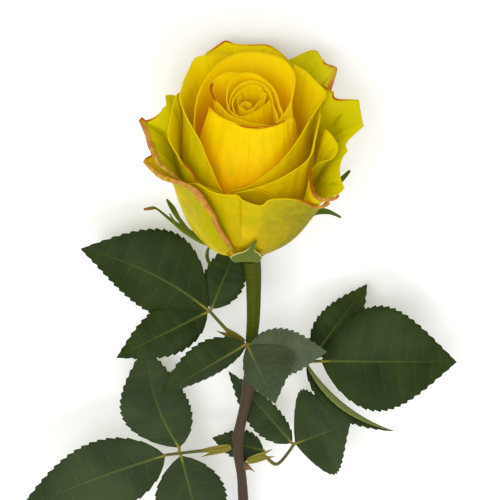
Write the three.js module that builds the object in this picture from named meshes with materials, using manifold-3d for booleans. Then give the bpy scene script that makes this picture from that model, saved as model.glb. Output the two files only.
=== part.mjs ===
// A cut yellow rose that lies on its back, in millimetres with +Z up.
//
// Two drawing frames come before the final one. The flower's own frame has its axis along z, x to the right
// and y away from the viewer, with the origin where the flower sits on its stem. The upright frame is the
// same with the flower nodding forward. The upright rose is then laid on its back on the surface z = 0.
import * as THREE from "three";
import { mergeVertices } from "three/addons/utils/BufferGeometryUtils.js";
import Module from "manifold-3d";

const wasm = await Module();
wasm.setup();
const { Manifold, Mesh: SolidMesh } = wasm;

// Driving dimensions

const NOD = 8; // degrees the flower leans forward on its stem
const SLOPE = 5; // degrees the stem rises towards the flower as it lies
const SHIFT = [3.7, 85.5, 22.8]; // where the upright origin lies
const VIEW_DOWN = 30; // degrees the viewer looks down on the upright rose
const PETAL_THICKNESS = 0.8;
const COIL_THICKNESS = 0.6; // the small petals coiled in the heart
const LEAF_THICKNESS = 0.7;
const LEAST_CELLS = 8; // across a petal
const CELLS_PER_SPAN = 0.6; // between two points of its rim
const OUTER_ROWS = [0.03, 0.27, 0.5, 0.7, 0.87, 1]; // places of a petal's rows from foot to rim
const MIDDLE_ROWS = [0.1, 0.35, 0.6, 0.82, 1];
const HEART_ROWS = [0.3, 0.54, 0.78, 1]; // those petals start inside the bulb
const INNER_ROWS = [0.4, 0.7, 1];
const LEAST_ROLL = 2; // a lip at least this long is rolled
const STEM_LENGTH = 240;
const CUT_SLANT = 40; // degrees between the cut end and a square cut
const STALK_RADIUS = 0.8;
const STIPULE_HALF_WIDTH = 1.7;
const LEAST_HALF_WIDTH = 0.45; // of a leaflet at its two ends
const VEIN_SWEEP = 0.38; // how far a leaflet's rows sweep forward for each millimetre outwards
const TOOTH_DEPTH = 0.9;
const SLIVER = 0.01; // cubic millimetres
const WELD = 0.001; // corners nearer to each other than this are merged

const YELLOW = "#e6c21a";
const SEPAL_GREEN = "#6f8a34";
const CANE_BROWN = "#6b5a45";
const LEAF_GREEN = "#3f5a2c";

// Petals
//
// A petal's rim is a row of points, from its left side to its right one: degrees round the axis from the
// front towards the right, distance from the axis, height, degrees of lean outwards, length of the rolled
// lip, and how far the rim sinks before the next point, which makes both of them tips.

const DEFAULT_LIP = 0.5;
const INNER = {
  rows: INNER_ROWS, footOut: 2.5, footUp: 8, footLean: 30, belly: 0.45, shoulder: 0.4,
  thickness: COIL_THICKNESS,
};
const HEART = {
  rows: HEART_ROWS, footOut: 5, footUp: 4.6, footLean: 52, belly: 0.5, shoulder: 0.33,
  thickness: PETAL_THICKNESS,
};
const MIDDLE = {
  rows: MIDDLE_ROWS, footOut: 5, footUp: 5, footLean: 50, belly: 0.58, shoulder: 0.33,
  thickness: PETAL_THICKNESS,
};
const OUTER = {
  rows: OUTER_ROWS, footOut: 6, footUp: 4.6, footLean: 57, belly: 0.5, shoulder: 0.33,
  thickness: PETAL_THICKNESS,
};
const FULL = { ...OUTER, belly: 0.58, shoulder: 0.31 };
const SCROLL = {
  rows: MIDDLE_ROWS, footOut: 6, footUp: 4.6, footLean: 57, belly: 0.42, shoulder: 0.3,
  thickness: PETAL_THICKNESS,
};
const CLAW = 0.75; // width of a petal's foot in turn, as a share of its rim
const ROLL = 150; // degrees a full lip rolls

const PETALS = [
  {
    // petal bud
    shape: INNER,
    rim: [
      [-260, 1.5, 60.8, -5], [-170, 0.8, 61.5, -5], [-95, 1.2, 61.5, -5], [-30, 1.8, 60.5, -5],
      [40, 2, 59.5, -5],
    ],
  },
  {
    // petal coil a
    shape: INNER,
    rim: [
      [-160, 4, 62, -5], [-122, 3, 62, -5], [-84, 2.3, 61.5, -5], [-27, 2.5, 61, -5], [20, 2.4, 60, -5],
      [60, 2.6, 58, -5],
    ],
  },
  {
    // petal coil b
    shape: INNER,
    rim: [
      [-60, 3, 59, -5], [-7, 2.7, 60.5, -5], [59, 3, 61.5, -4], [93, 3.9, 62, -2], [102, 5.6, 62.5, 0],
      [119, 6.8, 63, 0], [140, 6.6, 62.5, 0],
    ],
  },
  {
    // petal coil c
    shape: INNER,
    rim: [
      [120, 7.4, 59, 0], [130, 7.5, 62, 0], [144, 7.3, 64, 2], [161, 6.4, 64.5, 2], [180, 5.6, 64, 2],
      [205, 4.5, 63.5, 0], [235, 4, 63, -2], [270, 4.3, 62.3, -4], [300, 4.6, 61, -4],
      [330, 4.8, 59, -4],
    ],
  },
  {
    // petal coil d
    shape: INNER,
    rim: [
      [50, 12.2, 57, 0], [59, 11.6, 60, 0], [77, 8.9, 61.5, 0], [102, 8.2, 62.5, 0],
      [127, 8.4, 63.6, 2], [144, 8.3, 64.5, 4], [161, 8, 65, 4], [180, 7.2, 65, 4], [205, 6, 64.5, 2],
      [235, 5.2, 63.5, 0], [269, 5, 61.5, -2], [290, 5.2, 59, -2],
    ],
  },
  {
    // petal coil front
    shape: INNER,
    rim: [
      [-75, 5.8, 59, -5], [-56, 5.8, 61, -6], [-20, 6.4, 61, -8], [0, 6.1, 61.2, -8],
      [23, 5.6, 61.6, -6], [54, 5.6, 62, -4], [78, 6.6, 62.5, -2], [88, 7.4, 63, 0, 0.6],
      [93, 7.9, 61, 0], [93, 8.8, 58, 0], [88, 9.8, 55, 0],
    ],
  },
  {
    // petal coil ring
    shape: INNER,
    rim: [
      [66, 12.4, 58, 2], [73, 11.8, 61, 2], [83, 10.6, 62, 3], [105, 9.9, 63, 4], [129, 10, 64, 6],
      [144, 9.9, 65, 8], [160, 9.8, 66, 8], [181, 10.4, 66, 8], [207, 8.8, 66, 6], [233, 7.3, 65, 4],
      [253, 6.3, 63.5, 0], [282, 5.9, 62, -2], [300, 5.6, 60, -2],
    ],
  },
  {
    // petal coil left
    shape: INNER,
    rim: [
      [-175, 11, 65, 8], [-160, 11.2, 66, 10], [-144, 12.2, 66, 12], [-128, 12.7, 65, 12],
      [-116, 12.1, 64.5, 10, 0.9], [-102, 10.8, 64, 8, 0.9], [-92, 9.8, 63, 4, 0.8],
      [-80, 8.8, 62.5, 0], [-59, 8, 62, -4], [-37, 8, 61.5, -8], [-13, 8.6, 61.5, -8], [8, 9.6, 61, -8],
      [26, 10.6, 60.5, -6], [44, 11.6, 59, -4],
    ],
  },
  {
    // petal heart front
    shape: HEART,
    rim: [
      [-78, 11.8, 61.6, -18], [-70, 11.7, 62.2, -18], [-47, 11.2, 62, -14], [-23, 11.5, 62, -12],
      [2, 12.7, 61.5, -8, 0.9], [19, 13.3, 61.5, -6, 1.1], [44, 15, 62, -2, 0.9], [57, 15.2, 61.6, 0],
      [68, 15.3, 60.3, 0], [78, 15.7, 57, 0], [87, 16.3, 51, 0], [94, 17, 44, 0],
    ],
  },
  {
    // petal heart back
    shape: HEART,
    rim: [
      [40, 12.8, 58, -4], [50, 13.3, 60.5, -4], [60, 13.6, 62, -3], [84, 14.4, 63.5, 2],
      [103, 15.4, 64.5, 12], [121, 17.7, 65, 22], [134, 19.7, 65.5, 30], [148, 21.5, 66, 36],
      [165, 22, 66, 40], [180, 22, 66, 40], [193, 20.7, 66, 36], [210, 18.3, 65.7, 26],
      [228, 16.3, 65, 16], [246, 15.6, 64, 8], [262, 15.6, 62, 0], [276, 16.2, 59, -6],
      [290, 17.2, 55, -8], [300, 18.3, 50, -8],
    ],
  },
  {
    // petal left inner
    shape: MIDDLE,
    rim: [
      [-188, 24.4, 57, 36], [-174, 24.4, 61.5, 40], [-161, 24.3, 64.5, 42], [-149, 23.7, 66, 40],
      [-138, 24.7, 66, 38, 0.5, 0.4], [-122, 22.3, 64.8, 28], [-105, 21.1, 64.2, 20], [-92, 21.2, 63.5, 14],
      [-80, 20.8, 63, 10], [-68, 20.4, 62, 8], [-57, 20.2, 60.5, 5], [-46, 20.4, 58, 2],
      [-38, 20.4, 52.5, 0], [-30, 21, 48, 0], [-24, 21.6, 44, 0], [-18, 22, 40, 0],
    ],
  },
  {
    // petal right inner
    shape: MIDDLE,
    rim: [
      [-22, 20.6, 38, 0], [-12, 20.6, 42, 0], [0, 20.7, 43.7, 2], [15, 20.5, 47.3, 2],
      [31, 20.1, 50.5, 4], [46, 19.7, 53.5, 6], [62, 19.4, 56, 10], [74, 19.8, 57.5, 12],
      [86, 21.2, 58.5, 18], [98, 24, 59.5, 28], [106, 26.4, 60.7, 34], [116, 24.8, 62.6, 34],
      [127, 23.9, 64, 32], [138, 22.8, 64.5, 30],
    ],
  },
  {
    // petal right middle
    shape: MIDDLE,
    rim: [
      [-25, 22, 38, 0], [-12, 22.4, 41.5, 2], [0, 22.4, 43.9, 4], [21, 22.1, 46, 6], [38, 23, 47.8, 10],
      [50, 24.3, 49.7, 14], [59, 24.6, 52, 16], [67, 23.6, 54.5, 14], [76, 23, 56.5, 12],
      [95, 23.4, 57, 16],
    ],
  },
  {
    // petal right scroll
    shape: SCROLL,
    rim: [
      [49, 39, 44, 60, 1.2], [46, 38.6, 43.4, 60, 1.4], [41.5, 36, 43.2, 50, 1.4],
      [41, 32.6, 43.8, 40, 1.2], [45, 28.8, 45, 30, 1], [52, 26, 46.5, 22, 0.8],
      [60, 26.6, 48, 24, 0.6], [65, 30, 49.5, 34], [70, 30.8, 52, 36], [73, 29, 54, 34],
      [77, 26.3, 55.3, 28], [84, 24.9, 53, 20], [95, 24.4, 48, 16], [112, 23.5, 42, 14],
    ],
  },
  {
    // petal left middle
    shape: OUTER,
    rim: [
      [-112, 22.2, 60, 20], [-100, 22.8, 62, 22], [-93, 23.6, 60.8, 22], [-82, 24.4, 58.5, 22],
      [-70, 26.2, 55, 22], [-61, 25.3, 51.5, 18], [-53, 24.9, 49.2, 15, 0.7],
      [-45, 24.3, 48.3, 12, 0.8], [-40, 24.1, 45.8, 10, 0.8], [-35, 24.4, 44.3, 10, 0.6],
      [-28, 24, 43.3, 10], [-18, 23.6, 42.5, 10, 0.7], [-10, 23.3, 42.5, 10], [-5, 22.8, 43.4, 10],
      [8, 22.9, 44.2, 10], [18, 23.2, 42, 10], [28, 23.6, 37, 10],
    ],
  },
  {
    // petal right guard
    shape: OUTER,
    rim: [
      [40, 30, 37, 35], [49, 34, 41, 50], [56, 37, 44, 60, 0.4, 3.2], [74, 33.8, 50, 60, 0.4, 2.4],
      [88, 37.6, 54, 65, 0.4, 1.4], [103, 36.8, 57, 65, 0.6, 2.6], [108, 28.6, 59.6, 50, 0.8],
      [125, 26.5, 60, 40],
    ],
  },
  {
    // petal back right
    shape: OUTER,
    rim: [
      [108, 26, 56, 45], [113, 28.8, 59, 50, 1.2, 0.6], [124, 34.9, 62, 62, 1.4, 1],
      [134, 34.2, 61.5, 60, 0.6], [142, 35.2, 62.5, 60, 0.6], [151, 30, 60.5, 50], [165, 28, 58, 45],
    ],
  },
  {
    // petal back
    shape: OUTER,
    rim: [
      [140, 26.5, 60, 42], [149, 26.6, 62.3, 46, 0.6], [158, 27.4, 63.6, 50, 0.6],
      [168, 29.2, 64.3, 52, 0.7, 0.5], [186, 29.8, 64, 54, 0.6], [193, 31.7, 64.4, 56, 0.8, 0.7],
      [206, 27.8, 64, 48, 0.6], [212, 26.4, 62, 44],
    ],
  },
  {
    // petal left guard
    shape: OUTER,
    rim: [
      [-118, 24, 56, 42], [-106, 26.1, 59.4, 52, 0.5, 0.9], [-96, 26.6, 57.8, 58, 0.5, 0.6],
      [-90, 31.8, 54.7, 66, 0.8, 0.5], [-92, 34.3, 54.4, 68, 1.2, 0.4], [-82, 31.6, 51.4, 62, 1.6],
      [-74, 30.4, 49.9, 58, 1.8], [-67, 30, 47.7, 52, 1.8], [-60, 28.2, 46, 42, 1.6],
      [-52, 26.5, 43, 30, 1.2],
    ],
  },
  {
    // petal front left
    shape: FULL,
    rim: [
      [-135, 27, 40, 32], [-115, 28.5, 43, 38], [-95, 28.8, 44.5, 45, 0.6], [-82, 29.8, 45.2, 50, 0.8, 0.4],
      [-73, 34, 46.4, 60, 0.5, 0.9], [-63, 31, 44.8, 48, 2], [-55, 28.8, 44.6, 36, 2.2],
      [-47, 27.6, 44.8, 26, 2], [-37, 27.6, 44.8, 14, 2.8], [-30, 28.3, 43.6, 4, 3.6],
      [-25, 28.4, 39, 0, 3.8], [-22, 27.2, 32.5, 0, 3.8], [-16, 24.6, 25, 5, 2.6],
      [-12, 20.2, 17.8, 25, 0.8],
    ],
  },
  {
    // petal front
    shape: OUTER,
    rim: [
      [-62, 24.5, 36, 12], [-48, 25, 42, 14], [-36, 26, 45.3, 16], [-25, 26.2, 45, 16],
      [-15, 26.5, 45, 18], [-6, 26.6, 45, 18], [-2, 28, 44, 20], [9, 29.7, 43, 22], [15, 28.8, 44, 22],
      [26, 29, 43.2, 22], [36, 30.5, 41.7, 26, 0.8], [43, 32.1, 38.8, 32, 1.4], [49, 33.4, 38.6, 38, 1.5],
      [56, 31, 36, 34, 1],
    ],
  },
  {
    // petal under right
    shape: OUTER,
    rim: [
      [85, 27, 40, 32], [110, 29.5, 46, 38], [138, 34, 50, 46], [158, 37.5, 51, 52], [174, 35, 51, 50],
      [192, 30, 47, 40],
    ],
  },
  {
    // petal under left
    shape: OUTER,
    rim: [
      [-198, 30, 46, 40], [-178, 35, 50, 50], [-158, 37.5, 50.5, 52], [-130, 31, 46, 42],
      [-105, 26.5, 41, 32],
    ],
  },
];

// The bulb of petal bases that every petal stands in: distance from the axis and height
const CORE = [
  [0, 3.4], [4.8, 3.4], [8.3, 6.5], [11.1, 8.7], [14.6, 11.6], [15.2, 15], [13.5, 20], [11, 28],
  [8, 37], [6, 44], [0, 46],
];

// Calyx: the cup under the petals as distance and height, then its sepals and their side lobes as rows of
// degrees round, distance, height and half width
const CUP = [
  [0, -0.5], [2.6, -0.5], [3.6, 0.4], [4.7, 1.2], [5.6, 2], [6.1, 2.7], [5.2, 2.8], [0, 2.8],
];
const SEPAL_THICKNESS = 0.7;
const SEPALS = [
  {
    // front, wide and pressed against the front petal
    path: [
      [0, 4.6, 1.4, 4.2], [0, 9.2, 5.2, 3.6], [0, 13.9, 8.6, 3.2], [0, 16.7, 10.9, 3.6],
      [0, 19.3, 13.4, 4.5], [0, 21, 16.1, 5], [1, 22.3, 18.6, 3.8], [3.6, 23.1, 20.9, 1.2],
      [7, 24.6, 25.2, 0.45],
    ],
  },
  {
    // right
    path: [
      [102, 4.6, 1.4, 3.4], [101, 9, 5.2, 3.2], [101, 13.5, 9, 2.8], [101, 18, 13.3, 2.3],
      [101, 22.5, 15.2, 1.8], [100, 27, 14.9, 1.3], [99, 31.2, 12.3, 0.5],
    ],
  },
  {
    // right, further back
    path: [
      [118, 4.6, 1.4, 3.4], [118, 9, 5.2, 3.2], [118, 14, 9.3, 2.6], [118, 20, 14, 2.2],
      [118, 26, 15.5, 1.9], [118, 33.8, 18.2, 1.3], [118, 38.5, 21.4, 0.5],
    ],
  },
  {
    // left, further back, curled down
    path: [
      [-115, 4.6, 1.4, 3.4], [-115, 8.2, 3.6, 3], [-115, 11.2, 2.8, 2.2], [-115, 13.3, 0.2, 1.6],
      [-115, 14.2, -3.6, 1.1], [-115, 14, -6, 0.8], [-115, 13.1, -8.1, 0.5],
    ],
  },
  {
    // left
    path: [
      [-84, 4.6, 1.4, 3.4], [-88, 9.5, 5.2, 3], [-90, 15.2, 7.7, 2.3], [-90, 20, 10.9, 1.8],
      [-90, 24.5, 14.9, 0.9], [-90, 28.9, 19.3, 0.45], [-90, 30.6, 19.8, 0.8], [-90, 33.3, 19.2, 0.4],
    ],
  },
  {
    // side lobe of the left one
    path: [
      [-91, 18, 9.4, 1], [-99, 21.8, 12.2, 1.1], [-105, 24.6, 14.4, 1.5], [-109, 27.6, 16.4, 0.4],
    ],
  },
];

// Stem: x, y and z of its axis in the upright frame, with its radius
const STEM = [
  [1.7, 0.3, -1.3, 2.9], [2.1, 0.6, -5, 2.8], [2.4, 0.9, -12, 2.5], [2.3, 0.6, -24, 2.2],
  [1.7, 0.2, -33, 1.95], [1.6, 0, -42, 2], [1, 0, -48, 2.15], [-0.3, 0, -57, 1.85], [-1.9, 0, -65, 1.75],
  [-2.9, 0, -71, 1.95], [-2.6, 0, -78, 1.7], [-1.6, 0, -86, 1.6], [-1.1, 0, -95, 1.75],
  [-0.2, 0, -112, 1.8], [1, 0, -135, 1.9], [1.9, 0, -160, 1.95],
  [2, 0, -185, 2.05], [1.4, 0, -212, 2.15], [0.4, 0, -STEM_LENGTH, 2.25], [0.3, 0, -STEM_LENGTH - 4, 2.25],
];
// Prickles: height on the stem, degrees round it from the front towards the right, and length
const PRICKLES = [
  [-48, 75, 3.2], [-82, 80, 3.4], [-108, -95, 4], [-140, 60, 4.2], [-172, -70, 4.4], [-205, 100, 4],
];

// Leaves
//
// Places on them are as the viewer sees them: right, up the picture and towards the viewer. A leaflet has a
// half width on either side of its midrib, looking towards the tip, and the degrees that each half lifts
// towards the viewer. Its midrib bows by arch towards the viewer and by bend to its left, and its margins
// curl back by cup.

const SPRAYS = {
  leaf_upper_left: {
    stipules: 8,
    stalk: [[-0.9, -28.5, -16.5], [-4.4, -26.5, -15], [-8, -22.9, -13.3], [-12.2, -18.2, -12]],
    leaflets: [
      { base: [-12.5, -18, -12], tip: [-54.7, 2.3, -9],
        left: 13.3, right: 16.2, liftLeft: -28, liftRight: 8,
        arch: 2.5, bend: -2.8, cup: 1.5, teeth: 11 },
      { base: [-12.8, -18.6, -12.5], tip: [-43, -33.8, -16],
        left: 8.3, right: 9, liftLeft: 15, liftRight: -8,
        arch: 2, bend: 0, cup: 1.5, teeth: 8 },
      { base: [-11.6, -17.6, -12.5], tip: [-1.5, 7, -13],
        left: 7, right: 7.5, liftLeft: 10, liftRight: 10,
        arch: 1.5, bend: 0, cup: 1.5, teeth: 7 },
    ],
  },
  leaf_front: {
    stipules: 6,
    stalk: [[2.2, -41.7, -20.3], [1.4, -37, -14.5], [0.6, -32.5, -9.5], [0.3, -29.4, -8]],
    leaflets: [
      { base: [0, -29, -8], tip: [-29.3, -46.2, -11],
        left: 8, right: 8.5, liftLeft: -62, liftRight: 12,
        arch: 2, bend: 0, cup: 1.5, teeth: 8 },
      { base: [1, -29.4, -8], tip: [26.6, -31.6, -7],
        left: 6.8, right: 9.5, liftLeft: -12, liftRight: 5,
        arch: 3, bend: 0, cup: 3, teeth: 8 },
      { base: [0.3, -29.4, -7.5], tip: [9.5, -48.4, 3],
        left: 12.5, right: 6.5, liftLeft: 5, liftRight: -35,
        arch: 2.5, bend: 0, cup: 1.5, teeth: 7 },
      { base: [1, -29.2, -9], tip: [16, -27.8, -13],
        left: 4, right: 4, liftLeft: 10, liftRight: 10,
        arch: 1.5, bend: 0, cup: 1.5, teeth: 6 },
    ],
  },
  leaf_right: {
    stipules: 8,
    stalk: [[4.3, -37.2, -21.4], [9.2, -36.2, -21.5], [17.4, -35.2, -21], [24.6, -35, -20]],
    leaflets: [
      { base: [24.8, -35, -20], tip: [69.7, -35.2, -17],
        left: 19, right: 16.8, liftLeft: 8, liftRight: 8,
        arch: 3, bend: 0, cup: 1.5, teeth: 11 },
      { base: [22.2, -33.5, -22.5], tip: [40.2, -9.4, -24],
        left: 7, right: 8, liftLeft: 10, liftRight: 10,
        arch: 1.5, bend: 0, cup: 1.5, teeth: 8 },
      { base: [20, -36.2, -22.5], tip: [49.2, -58.4, -24],
        left: 5, right: 5.5, liftLeft: 112, liftRight: 20,
        arch: 2, bend: -3, cup: 1.5, teeth: 9 },
    ],
  },
  leaf_lower_right: {
    stipules: 7,
    stalk: [[0.2, -69.2, -40], [5.6, -67.4, -39.6], [10.4, -70, -38.6], [16, -63.4, -37.4]],
    leaflets: [
      { base: [16.3, -63.1, -37.2], tip: [34.8, -55.6, -26],
        left: 16.5, right: 14.5, liftLeft: 6, liftRight: 6,
        arch: 2.5, bend: 0, cup: 1.5, teeth: 9 },
      { base: [15.2, -62.9, -37.7], tip: [-6.1, -38.6, -34],
        left: 7, right: 4.5, liftLeft: 12, liftRight: 12,
        arch: 1.5, bend: 0, cup: 1.5, teeth: 9 },
      { base: [5.8, -65.6, -43], tip: [-11.6, -61.4, -43.6],
        left: 5.5, right: 5.5, liftLeft: 8, liftRight: 8,
        arch: 1, bend: 0, cup: 1.5, teeth: 7 },
    ],
  },
  leaf_lower_left: {
    stipules: 8,
    stalk: [[-5.2, -64.2, -36.9], [-10.2, -65.2, -36.3], [-16.4, -65.6, -35.6], [-27, -66.8, -34.6]],
    leaflets: [
      { base: [-27.2, -66.9, -34.4], tip: [-77, -86, -40],
        left: 12.5, right: 12.5, liftLeft: 5, liftRight: 10,
        arch: 3, bend: -1, cup: 1.5, teeth: 11 },
      { base: [-22.5, -64.4, -34.9], tip: [-33.9, -29.4, -32],
        left: 13, right: 10.5, liftLeft: 6, liftRight: 10,
        arch: 2.5, bend: 2.5, cup: 1.5, teeth: 10 },
      { base: [-22, -67, -35.4], tip: [-13.3, -100.5, -46.5],
        left: 12, right: 13, liftLeft: 8, liftRight: 8,
        arch: 2.5, bend: 0, cup: 1.5, teeth: 10 },
    ],
  },
};

// Vectors and curves

const radians = THREE.MathUtils.degToRad;
const add = (a, b) => a.map((value, i) => value + b[i]);
const minus = (a, b) => a.map((value, i) => value - b[i]);
const times = (a, factor) => a.map((value) => value * factor);
const cross = (a, b) => [
  a[1] * b[2] - a[2] * b[1],
  a[2] * b[0] - a[0] * b[2],
  a[0] * b[1] - a[1] * b[0],
];
const unit = (a) => times(a, 1 / Math.max(Math.hypot(...a), 1e-12));
const range = (count) => Array.from({ length: count }, (_, i) => i);

function turnedAboutX([x, y, z], degrees) {
  const c = Math.cos(radians(degrees));
  const s = Math.sin(radians(degrees));
  return [x, y * c - z * s, y * s + z * c];
}

const layDown = (point) => add(turnedAboutX(point, SLOPE - 90), SHIFT);
const layFlower = (point) => layDown(turnedAboutX(point, NOD));

function fromViewer([right, up, near]) {
  const c = Math.cos(radians(VIEW_DOWN));
  const s = Math.sin(radians(VIEW_DOWN));
  return [right, s * up - c * near, c * up + s * near];
}

const aroundAxis = (turn, out, up) => [
  out * Math.sin(radians(turn)),
  -out * Math.cos(radians(turn)),
  up,
];

// A smooth curve through rows of values, at place t from 0 to the count less one.
function smoothThrough(rows, t) {
  const last = rows.length - 1;
  const span = Math.min(Math.floor(t), last - 1);
  const f = t - span;
  const [p, q, r, s] = [-1, 0, 1, 2].map((step) => rows[THREE.MathUtils.clamp(span + step, 0, last)]);
  return q.map(
    (here, i) =>
      0.5 *
      (2 * here +
        (r[i] - p[i]) * f +
        (2 * p[i] - 5 * here + 4 * r[i] - s[i]) * f ** 2 +
        (3 * here - p[i] - 3 * r[i] + s[i]) * f ** 3),
  );
}

// The broad course of a row of values: each is averaged over its neighbours.
function broadened(values, share = 0.1) {
  const last = values.length - 1;
  return values.map((_, i) => {
    const weights = values.map((_, j) => Math.exp(-0.5 * ((i - j) / last / share) ** 2));
    const total = weights.reduce((sum, weight) => sum + weight, 0);
    return values.reduce((sum, value, j) => sum + value * weights[j], 0) / total;
  });
}

// Solids

function solidFrom(vertices, triangles) {
  return new Manifold(
    new SolidMesh({
      numProp: 3,
      vertProperties: new Float32Array(vertices.flat()),
      triVerts: new Uint32Array(triangles.flat()),
    }),
  );
}

// Directions that point out of a grid's outer face, at each of its points.
function gridNormals(grid) {
  const rows = grid.length - 1;
  const columns = grid[0].length - 1;
  return grid.map((row, i) =>
    row.map((_, j) => {
      const byRow = minus(grid[Math.min(i + 1, rows)][j], grid[Math.max(i - 1, 0)][j]);
      const byColumn = minus(row[Math.min(j + 1, columns)], row[Math.max(j - 1, 0)]);
      return unit(cross(byColumn, byRow));
    }),
  );
}

// A closed sheet of even thickness round a grid of points, in triangles that are alike on both faces.
function sheet(grid, thickness) {
  const width = grid[0].length;
  const count = grid.length * width;
  const normals = gridNormals(grid);
  const off = (i, j, side) => times(normals[i][j], side * thickness * 0.5);
  const face = (side) => grid.flatMap((row, i) => row.map((point, j) => add(point, off(i, j, side))));
  const triangles = [];
  const wall = (a, b) => triangles.push([b, a, a + count], [b, a + count, b + count]);
  const at = (i, j) => i * width + j;
  for (let i = 0; i + 1 < grid.length; i++) {
    for (let j = 0; j + 1 < width; j++) {
      const [a, b, c, d] = [at(i, j), at(i, j + 1), at(i + 1, j + 1), at(i + 1, j)];
      triangles.push([a, b, c], [a, c, d]);
      triangles.push([c + count, b + count, a + count], [d + count, c + count, a + count]);
    }
    wall(at(i, width - 1), at(i + 1, width - 1));
    wall(at(i + 1, 0), at(i, 0));
  }
  for (let j = 0; j + 1 < width; j++) {
    wall(at(0, j), at(0, j + 1));
    wall(at(grid.length - 1, j + 1), at(grid.length - 1, j));
  }
  return solidFrom([...face(1), ...face(-1)], triangles);
}

// A round body about an upright axis, from its outline of distance and height.
function turnedSolid(outline, place, sides = 20) {
  const solid = wasm.CrossSection.ofPolygons([outline]).revolve(sides);
  return solid.warp((vertex) => {
    const placed = place([vertex[0], vertex[1], vertex[2]]);
    [vertex[0], vertex[1], vertex[2]] = placed;
  });
}

// A tube along points, each with its radius.
function tube(points, radii, sides) {
  const last = points.length - 1;
  let side = [1, 0, 0];
  const vertices = points.flatMap((point, i) => {
    const ahead = unit(minus(points[Math.min(i + 1, last)], points[Math.max(i - 1, 0)]));
    const up = unit(cross(side, ahead));
    side = cross(ahead, up);
    return range(sides).map((k) => {
      const angle = (2 * Math.PI * k) / sides;
      const reach = add(times(side, Math.cos(angle)), times(up, Math.sin(angle)));
      return add(point, times(reach, radii[i]));
    });
  });
  const triangles = [];
  for (let i = 0; i < last; i++) {
    for (let k = 0; k < sides; k++) {
      const next = (k + 1) % sides;
      const [a, b] = [i * sides + k, i * sides + next];
      triangles.push([a, a + sides, b], [b, a + sides, b + sides]);
    }
  }
  for (let k = 1; k + 1 < sides; k++) {
    triangles.push([0, k, k + 1]);
    triangles.push([last * sides, last * sides + k + 1, last * sides + k]);
  }
  return solidFrom([...vertices], triangles);
}

// Fuses solids into one body, without the slivers that cuts leave.
function fused(solids) {
  const bodies = Manifold.union(solids).decompose().filter((body) => body.volume() > SLIVER);
  if (bodies.length > 1) {
    throw new Error(`${bodies.length - 1} loose: ${bodies.map((body) => body.volume().toFixed(2))}`);
  }
  return bodies[0];
}

function geometryOf(solid, weld) {
  const { vertProperties, triVerts } = solid.getMesh();
  const geometry = new THREE.BufferGeometry();
  geometry.setAttribute("position", new THREE.BufferAttribute(vertProperties, 3));
  geometry.setIndex(new THREE.BufferAttribute(triVerts, 1));
  return mergeVertices(geometry, weld);
}

// The same body with corners that nearly meet merged, without the specks which that sets loose.
function welded(solid) {
  const { attributes, index } = geometryOf(solid, WELD);
  const body = new Manifold(
    new SolidMesh({
      numProp: 3,
      vertProperties: attributes.position.array,
      triVerts: new Uint32Array(index.array),
    }),
  );
  return fused([body]);
}

function meshOf(name, solid, colour, roughness) {
  const mesh = new THREE.Mesh(
    geometryOf(welded(solid), WELD / 100),
    new THREE.MeshStandardMaterial({ color: colour, roughness, metalness: 0, flatShading: true }),
  );
  mesh.name = name;
  return mesh;
}

// Bloom

// Places of a petal's columns along its rim, counted in points. A notched rim has one at each tip and
// notch.
function columnPlaces(rim) {
  const spans = rim.length - 1;
  if (rim.some((knot) => knot[5])) {
    return rim.flatMap((knot, i) => (knot[5] ? [i, i + 0.5] : [i]));
  }
  const cells = Math.max(LEAST_CELLS, Math.round(CELLS_PER_SPAN * spans));
  return range(cells + 1).map((k) => (k * spans) / cells);
}

function petalGrid({ shape, rim }) {
  const spans = rim.length - 1;
  const knots = rim.map(([turn, out, up, flare, lip = DEFAULT_LIP]) => [turn, out, up, flare, lip]);
  const columns = columnPlaces(rim).map((t) => {
    const [turn, out, up, flare, lip] = smoothThrough(knots, t);
    const span = Math.min(Math.floor(t), spans - 1);
    const sink = (rim[span][5] ?? 0) * 4 * (t - span) * (1 - t + span);
    const lean = radians(flare);
    return { turn, out: out - sink * Math.sin(lean), up: up - sink * Math.cos(lean), lean, lip };
  });
  const turns = columns.map((column) => column.turn);
  const middle = 0.5 * (Math.min(...turns) + Math.max(...turns));
  const broadOut = broadened(columns.map((column) => column.out));
  const broadUp = broadened(columns.map((column) => column.up));
  const grid = shape.rows.map((v) => {
    const weights = [(1 - v) ** 3, 3 * v * (1 - v) ** 2, 3 * v ** 2 * (1 - v), v ** 3];
    const along = (...values) => values.reduce((sum, value, k) => sum + value * weights[k], 0);
    return columns.map(({ turn, out, up, lean }, j) => {
      const length = Math.hypot(broadOut[j] - shape.footOut, broadUp[j] - shape.footUp);
      const low = shape.belly * length;
      const high = shape.shoulder * length;
      const lowOut = shape.footOut + low * Math.sin(radians(shape.footLean));
      const lowUp = shape.footUp + low * Math.cos(radians(shape.footLean));
      const highOut = broadOut[j] - high * Math.sin(lean);
      const highUp = broadUp[j] - high * Math.cos(lean);
      const detail = v ** 4;
      return aroundAxis(
        middle + (turn - middle) * (CLAW + (1 - CLAW) * v),
        along(shape.footOut, lowOut, highOut, broadOut[j]) + (out - broadOut[j]) * detail,
        along(shape.footUp, lowUp, highUp, broadUp[j]) + (up - broadUp[j]) * detail,
      );
    });
  });
  const lips = columns.map((column) => column.lip);
  return Math.max(...lips) < LEAST_ROLL ? grid : [...grid, ...rolledLip(grid, lips)];
}

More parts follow.
